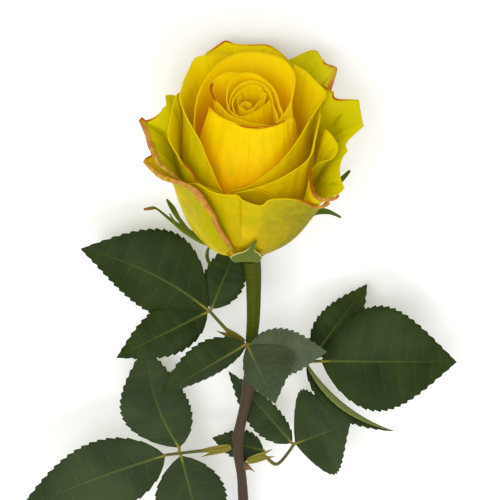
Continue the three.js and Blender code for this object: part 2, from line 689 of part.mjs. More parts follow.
// Two more rows past the rim, which turn over outwards where the lip is long.
function rolledLip(grid, lips) {
  const rim = grid[grid.length - 1];
  const below = grid[grid.length - 2];
  const last = rim.length - 1;
  return [0.5, 1].map((share) =>
    rim.map((point, j) => {
      const alongRim = unit(minus(rim[Math.min(j + 1, last)], rim[Math.max(j - 1, 0)]));
      const outwards = unit(cross(alongRim, unit(minus(point, below[j]))));
      const onwards = unit(cross(outwards, alongRim));
      const reach = Math.max(lips[j], 1);
      const full = radians(ROLL) * THREE.MathUtils.clamp((lips[j] - 0.8) / 2, 0.15, 1);
      const angle = full * share;
      const step = add(times(onwards, Math.sin(angle)), times(outwards, 1 - Math.cos(angle)));
      return add(point, times(step, reach / full));
    }),
  );
}

function bloom() {
  const petals = PETALS.map((petal) =>
    sheet(
      petalGrid(petal).map((row) => row.map(layFlower)),
      petal.shape.thickness,
    ),
  );
  const whole = fused([turnedSolid(CORE, layFlower), ...petals]);
  return whole.trimByPlane([0, 0, 1], 0); // the back petals are pressed flat where they lie
}

// Calyx

function sepalGrid({ path }) {
  const rows = range(9).map((k) => smoothThrough(path, (k * (path.length - 1)) / 8));
  return rows.map(([turn, out, up, halfWidth]) =>
    [-1, 0, 1].map((side) =>
      aroundAxis(turn + THREE.MathUtils.radToDeg((side * halfWidth) / out), out, up),
    ),
  );
}

function calyx() {
  const sepals = SEPALS.map((sepal) =>
    sheet(
      sepalGrid(sepal).map((row) => row.map(layFlower)),
      SEPAL_THICKNESS,
    ),
  );
  return fused([turnedSolid(CUP, layFlower), ...sepals]);
}

// Stem

function stemAt(height) {
  const after = STEM.findIndex(([, , z]) => z <= height);
  const [above, below] = [STEM[after - 1], STEM[after]];
  const f = (above[2] - height) / (above[2] - below[2]);
  return above.map((value, i) => value + (below[i] - value) * f);
}

function prickle([height, turn, length]) {
  const [x, y, z, radius] = stemAt(height);
  const outwards = aroundAxis(turn, 1, 0);
  const stations = [
    [0.4, 0, 1.1],
    [radius + 0.35 * length, -0.2, 0.7],
    [radius + length, -0.9, 0.3],
  ];
  const points = stations.map(([out, down]) => add([x, y, z + down], times(outwards, out)));
  return tube(points.map(layDown), stations.map(([, , thickness]) => thickness), 6);
}

function stem() {
  const cane = tube(
    STEM.map(([x, y, z]) => layDown([x, y, z])),
    STEM.map((ring) => ring[3]),
    12,
  );
  const slant = radians(CUT_SLANT);
  const cut = [Math.sin(slant) * 0.6, Math.cos(slant), Math.sin(slant) * 0.8];
  const end = layDown([0.4, 0, -STEM_LENGTH]);
  const reach = cut.reduce((sum, value, i) => sum + value * end[i], 0);
  return fused([cane, ...PRICKLES.map(prickle)]).trimByPlane(cut, reach).trimByPlane([0, 0, 1], 0);
}

// Leaves

// Rows of a leaflet lie at each tooth's point and at the notch after it.
function leafletGrid(leaflet) {
  const { base, tip, left, right, liftLeft, liftRight, arch, bend, cup, teeth } = leaflet;
  const run = minus(tip, base);
  const ahead = unit(run);
  const near = unit(minus([0, 0, 1], times(ahead, ahead[2])));
  const aside = cross(near, ahead);
  const toothed = range(2 * teeth).map((k) => (k % 2 ? [(k - 0.6) / 2 / teeth, 1] : [k / 2 / teeth, 0]));
  const stations = [...toothed, [1, 0]];
  return stations.map(([s, notch]) => {
    const bow = 4 * s * (1 - s);
    const outline = 2.6 * Math.sqrt(s) * (1 - s);
    const rib = add(add(base, times(run, s)), add(times(near, bow * arch), times(aside, bow * bend)));
    return [-1, 0, 1].map((u) => {
      const wide = u > 0 ? left : right;
      const lift = radians(u > 0 ? liftLeft : liftRight);
      const bite = TOOTH_DEPTH * notch * Math.abs(u) ** 6 * Math.min(outline * 3, 1);
      const reach = Math.max(Math.abs(u) * wide * outline - bite, Math.abs(u) * LEAST_HALF_WIDTH);
      const sideways = Math.sign(u) * reach * Math.cos(lift);
      const rise = reach * Math.sin(lift) - cup * u ** 2 * (reach / Math.max(wide, 1)) ** 1.5;
      const forward = VEIN_SWEEP * reach * (1 - s);
      return add(
        add(rib, times(aside, sideways)),
        add(times(near, rise), times(ahead, forward)),
      );
    });
  });
}

// The two wings along a stalk's foot, with free points that spread at their outer ends.
function stipuleGrid(stalk, reach) {
  const ahead = unit(minus(stalk[1], stalk[0]));
  const near = unit(minus([0, 0, 1], times(ahead, ahead[2])));
  const aside = cross(near, ahead);
  return range(6).map((k) => {
    const s = k / 5;
    const halfWidth = STIPULE_HALF_WIDTH * (0.6 + 0.9 * s - 0.95 * s ** 2);
    return [-1, -0.5, 0, 0.5, 1].map((u) => {
      const point = s ** 4 * Math.abs(u) ** 3;
      const onwards = 0.6 + s * reach * (0.75 + 0.25 * Math.abs(u)) + 2 * point;
      const sideways = u * (halfWidth + 0.3 * point);
      const foot = add(stalk[0], times(ahead, onwards));
      return add(foot, add(times(aside, sideways), times(near, 0.5 * Math.abs(u))));
    });
  });
}

// A leaflet's own short stalk, from the nearest place on the leaf's stalk to under its blade.
function leafletStalk({ base, tip }, stalk) {
  const ahead = unit(minus(tip, base));
  const away = (point) => Math.hypot(...minus(point, base));
  const places = range(31).map((k) => smoothThrough(stalk, (k * (stalk.length - 1)) / 30));
  const foot = places.reduce((best, point) => (away(point) < away(best) ? point : best));
  const points = [foot, add(base, times(ahead, 1)), add(base, times(ahead, 5))];
  return tube(points.map((point) => layDown(fromViewer(point))), [0.6, 0.55, 0.4], 6);
}

function leaf({ stalk, leaflets, stipules }) {
  const place = (point) => layDown(fromViewer(point));
  const blade = (grid) => sheet(grid.map((row) => row.map(place)), LEAF_THICKNESS);
  const rings = range(2 * stalk.length - 1).map((k) => smoothThrough(stalk, k / 2));
  const radii = rings.map((_, k) => STALK_RADIUS * (1 - (0.3 * k) / rings.length));
  const stalkTube = tube(rings.map(place), radii, 7);
  const blades = leaflets.map((leaflet) => blade(leafletGrid(leaflet)));
  const wings = blade(stipuleGrid(stalk, stipules));
  const feet = leaflets.map((leaflet) => leafletStalk(leaflet, stalk));
  return fused([stalkTube, wings, ...blades, ...feet]);
}

// The whole rose

const rose = new THREE.Group();
rose.name = "cut_rose";
rose.add(meshOf("bloom", bloom(), YELLOW, 0.6));
rose.add(meshOf("calyx", calyx(), SEPAL_GREEN, 0.6));
rose.add(meshOf("stem", stem(), CANE_BROWN, 0.55));
for (const [name, spray] of Object.entries(SPRAYS)) {
  rose.add(meshOf(name, leaf(spray), LEAF_GREEN, 0.45));
}

export default rose;
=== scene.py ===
"""A cut yellow rose lying on a pale surface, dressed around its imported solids.

The rose is drawn upright first, in millimetres: x to the right, y away from the viewer, z up the stem,
with the origin where the flower sits on its stem. It is then laid on its back, in metres.
"""
import logging
import math
from collections.abc import Callable
from dataclasses import dataclass
from enum import Enum

import bmesh
import bpy
import numpy as np
from mathutils import Matrix, Vector


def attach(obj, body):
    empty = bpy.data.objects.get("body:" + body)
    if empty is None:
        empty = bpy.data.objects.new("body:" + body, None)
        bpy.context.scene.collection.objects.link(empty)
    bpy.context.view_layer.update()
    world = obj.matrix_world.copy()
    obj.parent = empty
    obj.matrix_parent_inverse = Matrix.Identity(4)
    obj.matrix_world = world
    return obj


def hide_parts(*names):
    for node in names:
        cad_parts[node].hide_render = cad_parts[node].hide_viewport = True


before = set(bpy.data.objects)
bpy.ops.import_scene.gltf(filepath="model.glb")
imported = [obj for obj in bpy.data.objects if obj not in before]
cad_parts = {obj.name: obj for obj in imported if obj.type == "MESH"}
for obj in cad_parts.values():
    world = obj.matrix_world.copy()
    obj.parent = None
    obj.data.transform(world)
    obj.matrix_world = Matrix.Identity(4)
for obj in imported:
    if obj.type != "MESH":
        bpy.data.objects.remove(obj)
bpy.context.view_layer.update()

LOG = logging.getLogger("rose")
MM = 0.001
VIEW_DOWN = 30.0  # degrees the viewer looks down on the upright rose
ROUND = 48  # points round a turned body
WHITE = (1.0, 1.0, 1.0, 1.0)
GOLDEN_ANGLE = 2.399963  # radians; a step that never brings one petal's waves back to another's
PATTERN_STEP = 3.7  # keeps one leaf's patterns away from the next one's
TINY = 1e-12


def smooth_through(knots: np.ndarray, t: np.ndarray) -> np.ndarray:
    """Follow a smooth curve through rows of values.

    Args:
        knots: one row of values for each knot.
        t: places along the curve, from 0 at the first knot to the count less one at the last.

    Returns:
        One row of values for each place.
    """
    last = len(knots) - 1
    span = np.clip(np.floor(t).astype(int), 0, last - 1)
    f = (t - span)[:, None]
    before = knots[np.maximum(span - 1, 0)]
    here = knots[span]
    after = knots[span + 1]
    beyond = knots[np.minimum(span + 2, last)]
    return 0.5 * (
        2 * here
        + (after - before) * f
        + (2 * before - 5 * here + 4 * after - beyond) * f**2
        + (3 * here - before - 3 * after + beyond) * f**3
    )


def broadened(values: np.ndarray, share: float = 0.1) -> np.ndarray:
    """Keep only the broad course of a row of values.

    Args:
        values: the row.
        share: how much of the row's length each value is averaged over.

    Returns:
        The averaged row, of the same length.
    """
    places = np.linspace(0.0, 1.0, len(values))
    weights = np.exp(-0.5 * ((places[:, None] - places[None, :]) / share) ** 2)
    return weights @ values / weights.sum(axis=1)


def unit(vectors: np.ndarray) -> np.ndarray:
    """Scale each vector to length one, and leave a zero vector alone."""
    return vectors / np.maximum(np.linalg.norm(vectors, axis=-1, keepdims=True), TINY)


def arc_lengths(points: np.ndarray) -> np.ndarray:
    """Measure how far along its line each point lies, for lines that run down the first axis."""
    steps = np.linalg.norm(np.diff(points, axis=0), axis=-1)
    return np.concatenate([np.zeros((1, *steps.shape[1:])), np.cumsum(steps, axis=0)])


def turned_about_x(points: np.ndarray, degrees: float) -> np.ndarray:
    """Turn points about the x axis by the right-hand rule.

    Args:
        points: rows of x, y and z.
        degrees: how far they turn.

    Returns:
        The turned rows.
    """
    c, s = math.cos(math.radians(degrees)), math.sin(math.radians(degrees))
    x, y, z = points[..., 0], points[..., 1], points[..., 2]
    return np.stack([x, y * c - z * s, y * s + z * c], axis=-1)


def around_axis(turn: np.ndarray, out: np.ndarray, up: np.ndarray) -> np.ndarray:
    """Place points round an upright axis.

    Args:
        turn: degrees from the front towards the right.
        out: distance from the axis.
        up: height.

    Returns:
        Rows of x, y and z.
    """
    angle = np.radians(turn)
    return np.stack([out * np.sin(angle), -out * np.cos(angle), up], axis=-1)


def from_viewer(points: np.ndarray) -> np.ndarray:
    """Turn places as the viewer sees them into the upright drawing.

    Args:
        points: rows of right, up the picture and towards the viewer, in millimetres.

    Returns:
        Rows of x, y and z.
    """
    c, s = math.cos(math.radians(VIEW_DOWN)), math.sin(math.radians(VIEW_DOWN))
    right, up, near = points[..., 0], points[..., 1], points[..., 2]
    return np.stack([right, s * up - c * near, c * up + s * near], axis=-1)


def axes_along(run: np.ndarray) -> tuple[np.ndarray, np.ndarray, np.ndarray]:
    """Find the directions of a blade that faces the viewer.

    Args:
        run: which way it runs, as the viewer sees it.

    Returns:
        The directions ahead, towards the viewer and to the left of its run.
    """
    ahead = unit(run)
    near = unit(np.array([0.0, 0.0, 1.0]) - ahead[2] * ahead)
    return ahead, near, np.cross(near, ahead)


@dataclass(frozen=True)
class Resting:
    """How the upright rose is laid on its back on the surface.

    Attributes:
        nod: how far the flower leans forward on its stem, in degrees.
        slope: how far the stem rises towards the flower as it lies, in degrees.
        shift: where the upright drawing's origin lies, in millimetres.
    """

    nod: float = 8.0
    slope: float = 5.0
    shift: tuple[float, float, float] = (3.7, 85.5, 22.8)

    def lay(self, points: np.ndarray) -> np.ndarray:
        """Lay upright points, in millimetres, on the surface, in metres."""
        return (turned_about_x(points, self.slope - 90.0) + np.array(self.shift)) * MM

    def lay_head(self, points: np.ndarray) -> np.ndarray:
        """Lay points of the flower's own frame on the surface, in metres."""
        return self.lay(turned_about_x(points, self.nod))


REST = Resting()


@dataclass
class Blade:
    """A thin curved blade as a grid of points, with what its finish needs to know at each one.

    Attributes:
        points: rows by columns by three.
        facts: the named values of its points, by row and column.
    """

    points: np.ndarray
    facts: dict[str, np.ndarray]

    @classmethod
    def with_facts(cls, points: np.ndarray, **facts: np.ndarray | float) -> "Blade":
        """Make a blade from facts of its rows, of its columns, of its points or of the whole.

        Args:
            points: rows by columns by three.
            facts: the named values.

        Returns:
            The blade, with each fact spread over its grid.
        """
        grid = points.shape[:2]
        return cls(points, {key: np.broadcast_to(value, grid).astype(float) for key, value in facts.items()})

    def normals(self) -> np.ndarray:
        """Find the directions that point out of the blade's outer face.

        Returns:
            Rows by columns by three.
        """
        by_row = np.gradient(self.points, axis=0)
        by_column = np.gradient(self.points, axis=1)
        return unit(np.cross(by_column, by_row))


class MeshMaker:
    """Turns grids of points into mesh objects."""

    @staticmethod
    def _piece(
        name: str, points: np.ndarray, faces: list[list[int]], facts: dict[str, np.ndarray]
    ) -> bpy.types.Object:
        """Make an object.

        Args:
            name: its name.
            points: its points, in metres.
            faces: the numbers of each face's points.
            facts: named values, one for each point.

        Returns:
            The object, with each fact as an attribute.
        """
        mesh = bpy.data.meshes.new(name)
        mesh.from_pydata(points.tolist(), [], faces)
        mesh.shade_smooth()
        for key, numbers in facts.items():
            attribute = mesh.attributes.new(key, "FLOAT", "POINT")
            attribute.data.foreach_set("value", np.ascontiguousarray(numbers, dtype=np.float32))
        piece = bpy.data.objects.new(name, mesh)
        bpy.context.scene.collection.objects.link(piece)
        return piece

    @classmethod
    def _ringed(
        cls, name: str, rings: np.ndarray, ends: np.ndarray, facts: dict[str, np.ndarray], flipped: bool
    ) -> bpy.types.Object:
        """Make a closed body from rings of points and a point at each end.

        Args:
            name: the object's name.
            rings: rings by sides by three, in metres.
            ends: the point before the first ring and the one past the last.
            facts: named values of the rings' points and then of the ends.
            flipped: whether the rings run round the other way.

        Returns:
            The object.
        """
        count, sides = rings.shape[:2]
        grid = np.arange(count * sides).reshape(count, sides)
        beside = np.roll(grid, -1, axis=1)
        foot = np.full(sides, count * sides)
        walls = np.stack([grid[:-1], grid[1:], beside[1:], beside[:-1]], axis=-1).reshape(-1, 4)
        caps = np.concatenate([
            np.stack([foot, grid[0], beside[0]], axis=1),
            np.stack([foot + 1, beside[-1], grid[-1]], axis=1),
        ])
        if flipped:
            walls, caps = (np.roll(faces[:, ::-1], 1, axis=1) for faces in (walls, caps))
        points = np.concatenate([rings.reshape(-1, 3), ends])
        return cls._piece(name, points, walls.tolist() + caps.tolist(), facts)

    @classmethod
    def sheet(cls, name: str, blade: Blade, thickness: float, thinning: float = 0.0) -> bpy.types.Object:
        """Make a closed thin sheet from a blade.

        Args:
            name: the object's name.
            blade: the middle surface, with its points in metres.
            thickness: the sheet's thickness, in millimetres.
            thinning: how much of that it loses by its far end, as a share.

        Returns:
            The object, with the blade's facts and outside, 1 on its outer face, on its points.
        """
        rows, columns = blade.points.shape[:2]
        depth = thickness * (1.0 - thinning * blade.facts["along"] ** 6)
        half = blade.normals() * (depth * 0.5 * MM)[..., None]
        points = np.concatenate([(blade.points + half).reshape(-1, 3), (blade.points - half).reshape(-1, 3)])
        count = rows * columns
        grid = np.arange(count).reshape(rows, columns)
        cells = [grid[:-1, :-1], grid[:-1, 1:], grid[1:, 1:], grid[1:, :-1]]
        front = np.stack([corner.ravel() for corner in cells], axis=1)
        back = front[:, ::-1] + count
        ring = np.concatenate([grid[0, :-1], grid[:-1, -1], grid[-1, :0:-1], grid[:0:-1, 0]])
        following = np.roll(ring, -1)
        walls = np.stack([following, ring, ring + count, following + count], axis=1)
        facts = {key: np.tile(values.ravel(), 2) for key, values in blade.facts.items()}
        facts["outside"] = np.repeat([1.0, 0.0], count)
        return cls._piece(name, points, np.concatenate([front, back, walls]).tolist(), facts)

    @classmethod
    def tube(
        cls, name: str, line: np.ndarray, radii: np.ndarray, sides: int, first_side: tuple[float, ...]
    ) -> bpy.types.Object:
        """Make a closed tube along a line.

        Args:
            name: the object's name.
            line: rows of points, in metres.
            radii: rows of two half widths, along first_side and across it, in millimetres.
            sides: points round the tube.
            first_side: a direction across the line, which its section follows.

        Returns:
            The object, with along, the distance in millimetres, and around, -1 to 1, on its points.
        """
        side = np.array(first_side, dtype=float)
        angles = np.arange(sides) * 2 * math.pi / sides
        ahead = unit(np.gradient(line, axis=0))
        rings = []
        for point, forward, (wide, high) in zip(line, ahead, radii * MM):
            rise = unit(np.cross(side, forward))
            side = np.cross(forward, rise)
            rings.append(
                point + np.outer(np.cos(angles) * wide, side) + np.outer(np.sin(angles) * high, rise)
            )
        along = arc_lengths(line) / MM
        facts = {
            "along": np.concatenate([np.repeat(along, sides), along[:1], along[-1:]]),
            "around": np.concatenate([np.tile(np.cos(angles), len(line)), [0.0, 0.0]]),
        }
        return cls._ringed(name, np.array(rings), line[[0, -1]], facts, flipped=False)

    @classmethod
    def turned(
        cls, name: str, outline: tuple[tuple[float, float], ...], place: Callable[[np.ndarray], np.ndarray]
    ) -> bpy.types.Object:
        """Make a closed round body about the upright axis.

        Args:
            name: the object's name.
            outline: rows of distance and height, which start and end on the axis.
            place: what lays its points down.

        Returns:
            The object, with along, 0 to 1 from the outline's start to its end, on its points.
        """
        turns = np.arange(ROUND) * 360.0 / ROUND
        rings = [around_axis(turns, np.full(ROUND, out), np.full(ROUND, up)) for out, up in outline[1:-1]]
        ends = np.array([[0.0, 0.0, outline[0][1]], [0.0, 0.0, outline[-1][1]]])
        share = np.linspace(0.0, 1.0, len(rings))
        facts = {"along": np.concatenate([np.repeat(share, ROUND), [0.0, 1.0]])}
        return cls._ringed(name, place(np.array(rings)), place(ends), facts, flipped=True)


def dressed(
    piece: bpy.types.Object, node: str, slot: str, *finishes: bpy.types.Material
) -> bpy.types.Object:
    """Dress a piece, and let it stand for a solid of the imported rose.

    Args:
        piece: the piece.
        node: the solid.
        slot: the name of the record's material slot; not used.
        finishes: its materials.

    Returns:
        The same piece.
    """
    for finish in finishes:
        piece.data.materials.append(finish)
    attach(piece, "root")
    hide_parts(node)
    return piece


def paint(code: str) -> tuple[float, float, float, float]:
    """Turn a colour as written in print into the light it reflects.

    Args:
        code: the colour, such as "#f0d200".

    Returns:
        Red, green, blue and 1, in linear light.
    """
    values = [int(code[i:i + 2], 16) / 255 for i in (1, 3, 5)]
    linear = [v / 12.92 if v <= 0.04045 else ((v + 0.055) / 1.055) ** 2.4 for v in values]
    return (*linear, 1.0)


class Shade:
    """A value that varies over a surface, and takes part in plain sums and products."""

    def __init__(self, socket: bpy.types.NodeSocket) -> None:
        """Wrap the output socket that carries the value."""
        self.socket = socket
        self.tree = socket.id_data

    @classmethod
    def of_node(
        cls, tree: bpy.types.NodeTree, kind: str, settings: dict[str, str], entries: dict[str, object],
        output: str = "",
    ) -> "Shade":
        """Add a node.

        Args:
            tree: the material's nodes.
            kind: the node's type.
            settings: its settings, which are set before its sockets.
            entries: shades, numbers or colours as written in print for its sockets, by name or identifier.
            output: the output's identifier; the first output if left out.

        Returns:
            What comes out of the node.
        """
        node = tree.nodes.new(kind)
        for key, value in settings.items():
            setattr(node, key, value)
        for key, value in entries.items():
            entry = next(s for s in node.inputs if key in (s.identifier, s.name))
            if isinstance(value, Shade):
                tree.links.new(value.socket, entry)
            else:
                entry.default_value = paint(value) if isinstance(value, str) else value
        return cls(next((s for s in node.outputs if s.identifier == output), node.outputs[0]))

    def _maths(self, operation: str, *terms: "Shade | float") -> "Shade":
        """Work on one or two terms."""
        entries = dict(zip(("Value", "Value_001"), terms))
        return Shade.of_node(self.tree, "ShaderNodeMath", {"operation": operation}, entries)

    def __add__(self, other: "Shade | float") -> "Shade":
        """Add."""
        return self._maths("ADD", self, other)

    def __sub__(self, other: "Shade | float") -> "Shade":
        """Take away."""
        return self._maths("SUBTRACT", self, other)

    def __rsub__(self, other: float) -> "Shade":
        """Take this from a number."""
        return self._maths("SUBTRACT", other, self)

    def __mul__(self, other: "Shade | float") -> "Shade":
        """Multiply."""
        return self._maths("MULTIPLY", self, other)

    __radd__ = __add__
    __rmul__ = __mul__

    def size(self) -> "Shade":
        """Leave out the value's sign."""
        return self._maths("ABSOLUTE", self)

    def beyond_whole(self) -> "Shade":
        """Keep what is left past the last whole number."""
        return self._maths("FRACT", self)

    def rise(self, low: float, high: float) -> "Shade":
        """Step smoothly from 0 to 1.

        Args:
            low: where the step is 0.
            high: where it is 1, which may be the lower one of the two.

        Returns:
            The step.
        """
        start, end = sorted((low, high))
        entries = {"Value": self, "From Min": start, "From Max": end}
        step = Shade.of_node(self.tree, "ShaderNodeMapRange", {"interpolation_type": "SMOOTHSTEP"}, entries)
        return 1.0 - step if low > high else step


class Finish:
    """Builds one material out of nodes."""

    def __init__(self, name: str, **surface: float | tuple[float, ...]) -> None:
        """Start a material.

        Args:
            name: the material's name.
            surface: values of the shader's sockets that are the same all over, with _ for a space.
        """
        self.material = bpy.data.materials.new(name)
        self.material.use_nodes = True
        self.tree = self.material.node_tree
        self.shader = self.tree.nodes["Principled BSDF"]
        for key, value in surface.items():
            self.shader.inputs[key.replace("_", " ")].default_value = value

    def facts(self, *names: str) -> list[Shade]:
        """Read named values of the mesh's points."""
        kind = "ShaderNodeAttribute"
        return [Shade.of_node(self.tree, kind, {"attribute_name": name}, {}, "Fac") for name in names]

    def noise(self, place: Shade, scale: float, detail: float) -> Shade:
        """Make soft noise from 0 to 1, as fine as scale says."""
        entries = {"Vector": place, "Scale": scale, "Detail": detail}
        return Shade.of_node(self.tree, "ShaderNodeTexNoise", {}, entries)

    def cloud(self, x: Shade, y: Shade, z: Shade | float, detail: float) -> Shade:
        """Make soft noise from 0 to 1 in a pattern whose places are given by three values."""
        place = Shade.of_node(self.tree, "ShaderNodeCombineXYZ", {}, {"X": x, "Y": y, "Z": z})
        return self.noise(place, 1.0, detail)

    def grain(self, scale: float, detail: float) -> Shade:
        """Make soft noise from 0 to 1 that is fixed to places on the object, in metres."""
        here = Shade.of_node(self.tree, "ShaderNodeTexCoord", {}, {}, "Object")
        return self.noise(here, scale, detail)

    def layered(self, ground: Shade | str, *layers: tuple[Shade | str, Shade | float]) -> Shade:
        """Lay colours over a ground, one after another.

        Args:
            ground: the lowest colour.
            layers: each colour over it, with the share of what lies below that it covers.

        Returns:
            The colour that is seen.
        """
        settings = {"data_type": "RGBA"}
        for over, share in layers:
            entries = {"Factor_Float": share, "A_Color": ground, "B_Color": over}
            ground = Shade.of_node(self.tree, "ShaderNodeMix", settings, entries, "Result_Color")
        return ground

    def _feed(self, entry: str, shade: Shade) -> None:
        """Let a shade decide one of the shader's values."""
        self.tree.links.new(shade.socket, self.shader.inputs[entry])

    def glow(self, colour: Shade, strength: float) -> None:
        """Paint a glow: give off a little of a colour everywhere, in place of the light that a thin petal
        lets through.
        """
        self._feed("Emission Color", colour)
        self.shader.inputs["Emission Strength"].default_value = strength

    def dress(
        self, colour: Shade, relief: Shade, height: float, roughness: Shade | None = None
    ) -> bpy.types.Material:
        """Feed the shader.

        Args:
            colour: the surface's colour.
            relief: its height, from 0 to 1.
            height: how high a relief of 1 is, in millimetres.
            roughness: how matt it is.

        Returns:
            The material.
        """
        self._feed("Base Color", colour)
        if roughness is not None:
            self._feed("Roughness", roughness)
        entries = {"Height": relief, "Distance": height * MM, "Strength": 1.0}
        self._feed("Normal", Shade.of_node(self.tree, "ShaderNodeBump", {}, entries))
        return self.material


@dataclass(frozen=True)
class PetalFinish:
    """Yellow petals: deep orange low inside, green on the guards, tan where the rim has dried.

    Attributes:
        yellow: the inner face.
        deep: the inner face low down, partly the rose's own deeper gold and partly painted shade of the
            hollows.
        outer: the outer face.
        pale: the outer face where it has paled.
        guard: the guard petals' inner face.
        fleck: the green flecks on them.
        lime: green blotches on the outer face.
        olive_shade: painted shade, darker and olive, on the right of the outermost petals' outer faces.
        rim_shade: painted shade on the very edge of a rim, where a longer rolled lip catches the light.
        tan: a dried margin.
        brown: its darkest parts.
        rose: its pinkish parts.
        line: a rim's thin red line.
        glow: how strongly the petals give off their own colour everywhere, a painted glow that lightens the
            shade in their hollows.
        relief: how high its folds are, in millimetres.
    """

    yellow: str = "#efc900"
    deep: str = "#f2ad00"
    outer: str = "#ae9700"
    pale: str = "#d0bc2e"
    guard: str = "#bab402"
    fleck: str = "#7d9000"
    lime: str = "#a3a000"
    olive_shade: str = "#857c1c"
    rim_shade: str = "#c09a04"
    tan: str = "#c8884a"
    brown: str = "#95552c"
    rose: str = "#b46a4a"
    line: str = "#a04408"
    glow: float = 0.08
    relief: float = 1.4

    def material(self) -> bpy.types.Material:
        """Build the material.

        Returns:
            The material.
        """
        finish = Finish(
            "petal", Specular_IOR_Level=0.05, Subsurface_Weight=0.3, Subsurface_Scale=0.002,
            Subsurface_Radius=(1.0, 0.8, 0.1),
        )
        along, across, outside, seed = finish.facts("along", "across", "outside", "seed")
        edge, lip, roll = finish.facts("edge", "lip", "roll")
        guard, pale, greened = finish.facts("guard", "pale", "greened")
        veins = finish.cloud(across * (along * 14.0 + 9.0), along * 2.2, seed, 3.0)
        patches = finish.cloud(across * 1.6, along * 2.4, seed * 1.7, 2.0)
        flecks = finish.cloud(across * 11.0, along * 5.0, seed * 2.3, 4.0)
        blotches = finish.cloud(across * 3.2, along * 4.2, seed * 2.9, 3.0)
        mottle = finish.cloud(across * 9.0, along * 12.0, seed * 4.1, 5.0)
        folds = finish.cloud(across * 4.5, along * 1.1, seed * 5.3, 1.0)
        uneven = finish.cloud(across * 7.0, edge * 0.25 + roll * 0.8, seed * 3.1, 3.0)
        crumpled = finish.cloud(across * 26.0, edge * 0.7 + roll * 0.5, seed * 1.3, 4.0)

        # The petals turn deep orange towards their foot: partly the rose's own deeper gold and partly
        # painted shade of the hollows.
        gold = finish.layered(self.deep, (self.yellow, (along + guard).rise(0.35, 1.05)))
        inner = finish.layered(
            gold,
            (self.guard, guard * (patches * 0.8 + 0.5) * along.rise(0.2, 0.7)),
            (self.fleck, flecks.rise(0.56, 0.72) * guard * 0.7),
        )
        outer = finish.layered(
            gold,
            (self.outer, (guard + pale).rise(0.1, 0.7)),
            (self.pale, pale * patches.rise(0.38, 0.62) * along.rise(0.98, 0.5)),
            (self.guard, guard * patches.rise(0.6, 0.4) * 0.8),
            (self.lime, guard * blotches.rise(0.42, 0.62) * along.rise(0.3, 0.9) * 1.6),
            (gold, blotches.rise(0.5, 0.35) * along.rise(1.0, 0.6) * 0.5),
            # Painted shade: the outer face darkens to olive towards its right side.
            (self.olive_shade, greened * (across + patches * 0.6 - 0.3).rise(-0.15, 0.75)),
        )

        # A long lip has dried from its edge inwards, and a shorter one has only a thin line there.
        width = lip * 1.3 + uneven * 3.4 + crumpled * 2.4 - 3.3
        dried = lip.rise(0.85, 1.4) * (edge - width).rise(1.7, -1.6) * uneven.rise(0.2, 0.6)
        thin = lip.rise(0.52, 0.8) * lip.rise(1.5, 1.1) * edge.rise(0.75, 0.2) * uneven.rise(0.25, 0.45)
        margin = finish.layered(
            self.tan,
            (self.brown, crumpled.rise(0.42, 0.6) * 0.9),
            (self.rose, uneven.rise(0.45, 0.65) * 0.6),
        )
        blade = finish.layered(
            inner,
            (outer, outside),
            (self.deep, veins.rise(0.5, 0.8) * 0.12),
            (self.outer, veins.rise(0.5, 0.75) * outside * 0.2),
            (self.pale, veins.rise(0.5, 0.2) * 0.06),
            (self.guard, mottle.rise(0.45, 0.7) * (outside * 0.25 + 0.1)),
            # Painted shade: the very edge of each rim is darkened where the lip is longer, to dim the light
            # that the rolled lip catches.
            (self.rim_shade, edge.rise(0.6, 0.1) * lip.rise(0.3, 0.6) * 0.3),
            (margin, dried * (1.0 - crumpled.rise(0.6, 0.75) * 0.5) * 0.9),
            (self.line, thin * 0.95),
        )
        # Painted glow: the petals give off a little of their own colour, which lightens the shade between
        # them.
        finish.glow(blade, self.glow)
        relief = folds + patches * 0.5 + veins * 0.08 + mottle * 0.08 + crumpled * dried * 0.3
        return finish.dress(blade, relief, self.relief, veins * 0.15 + 0.48)


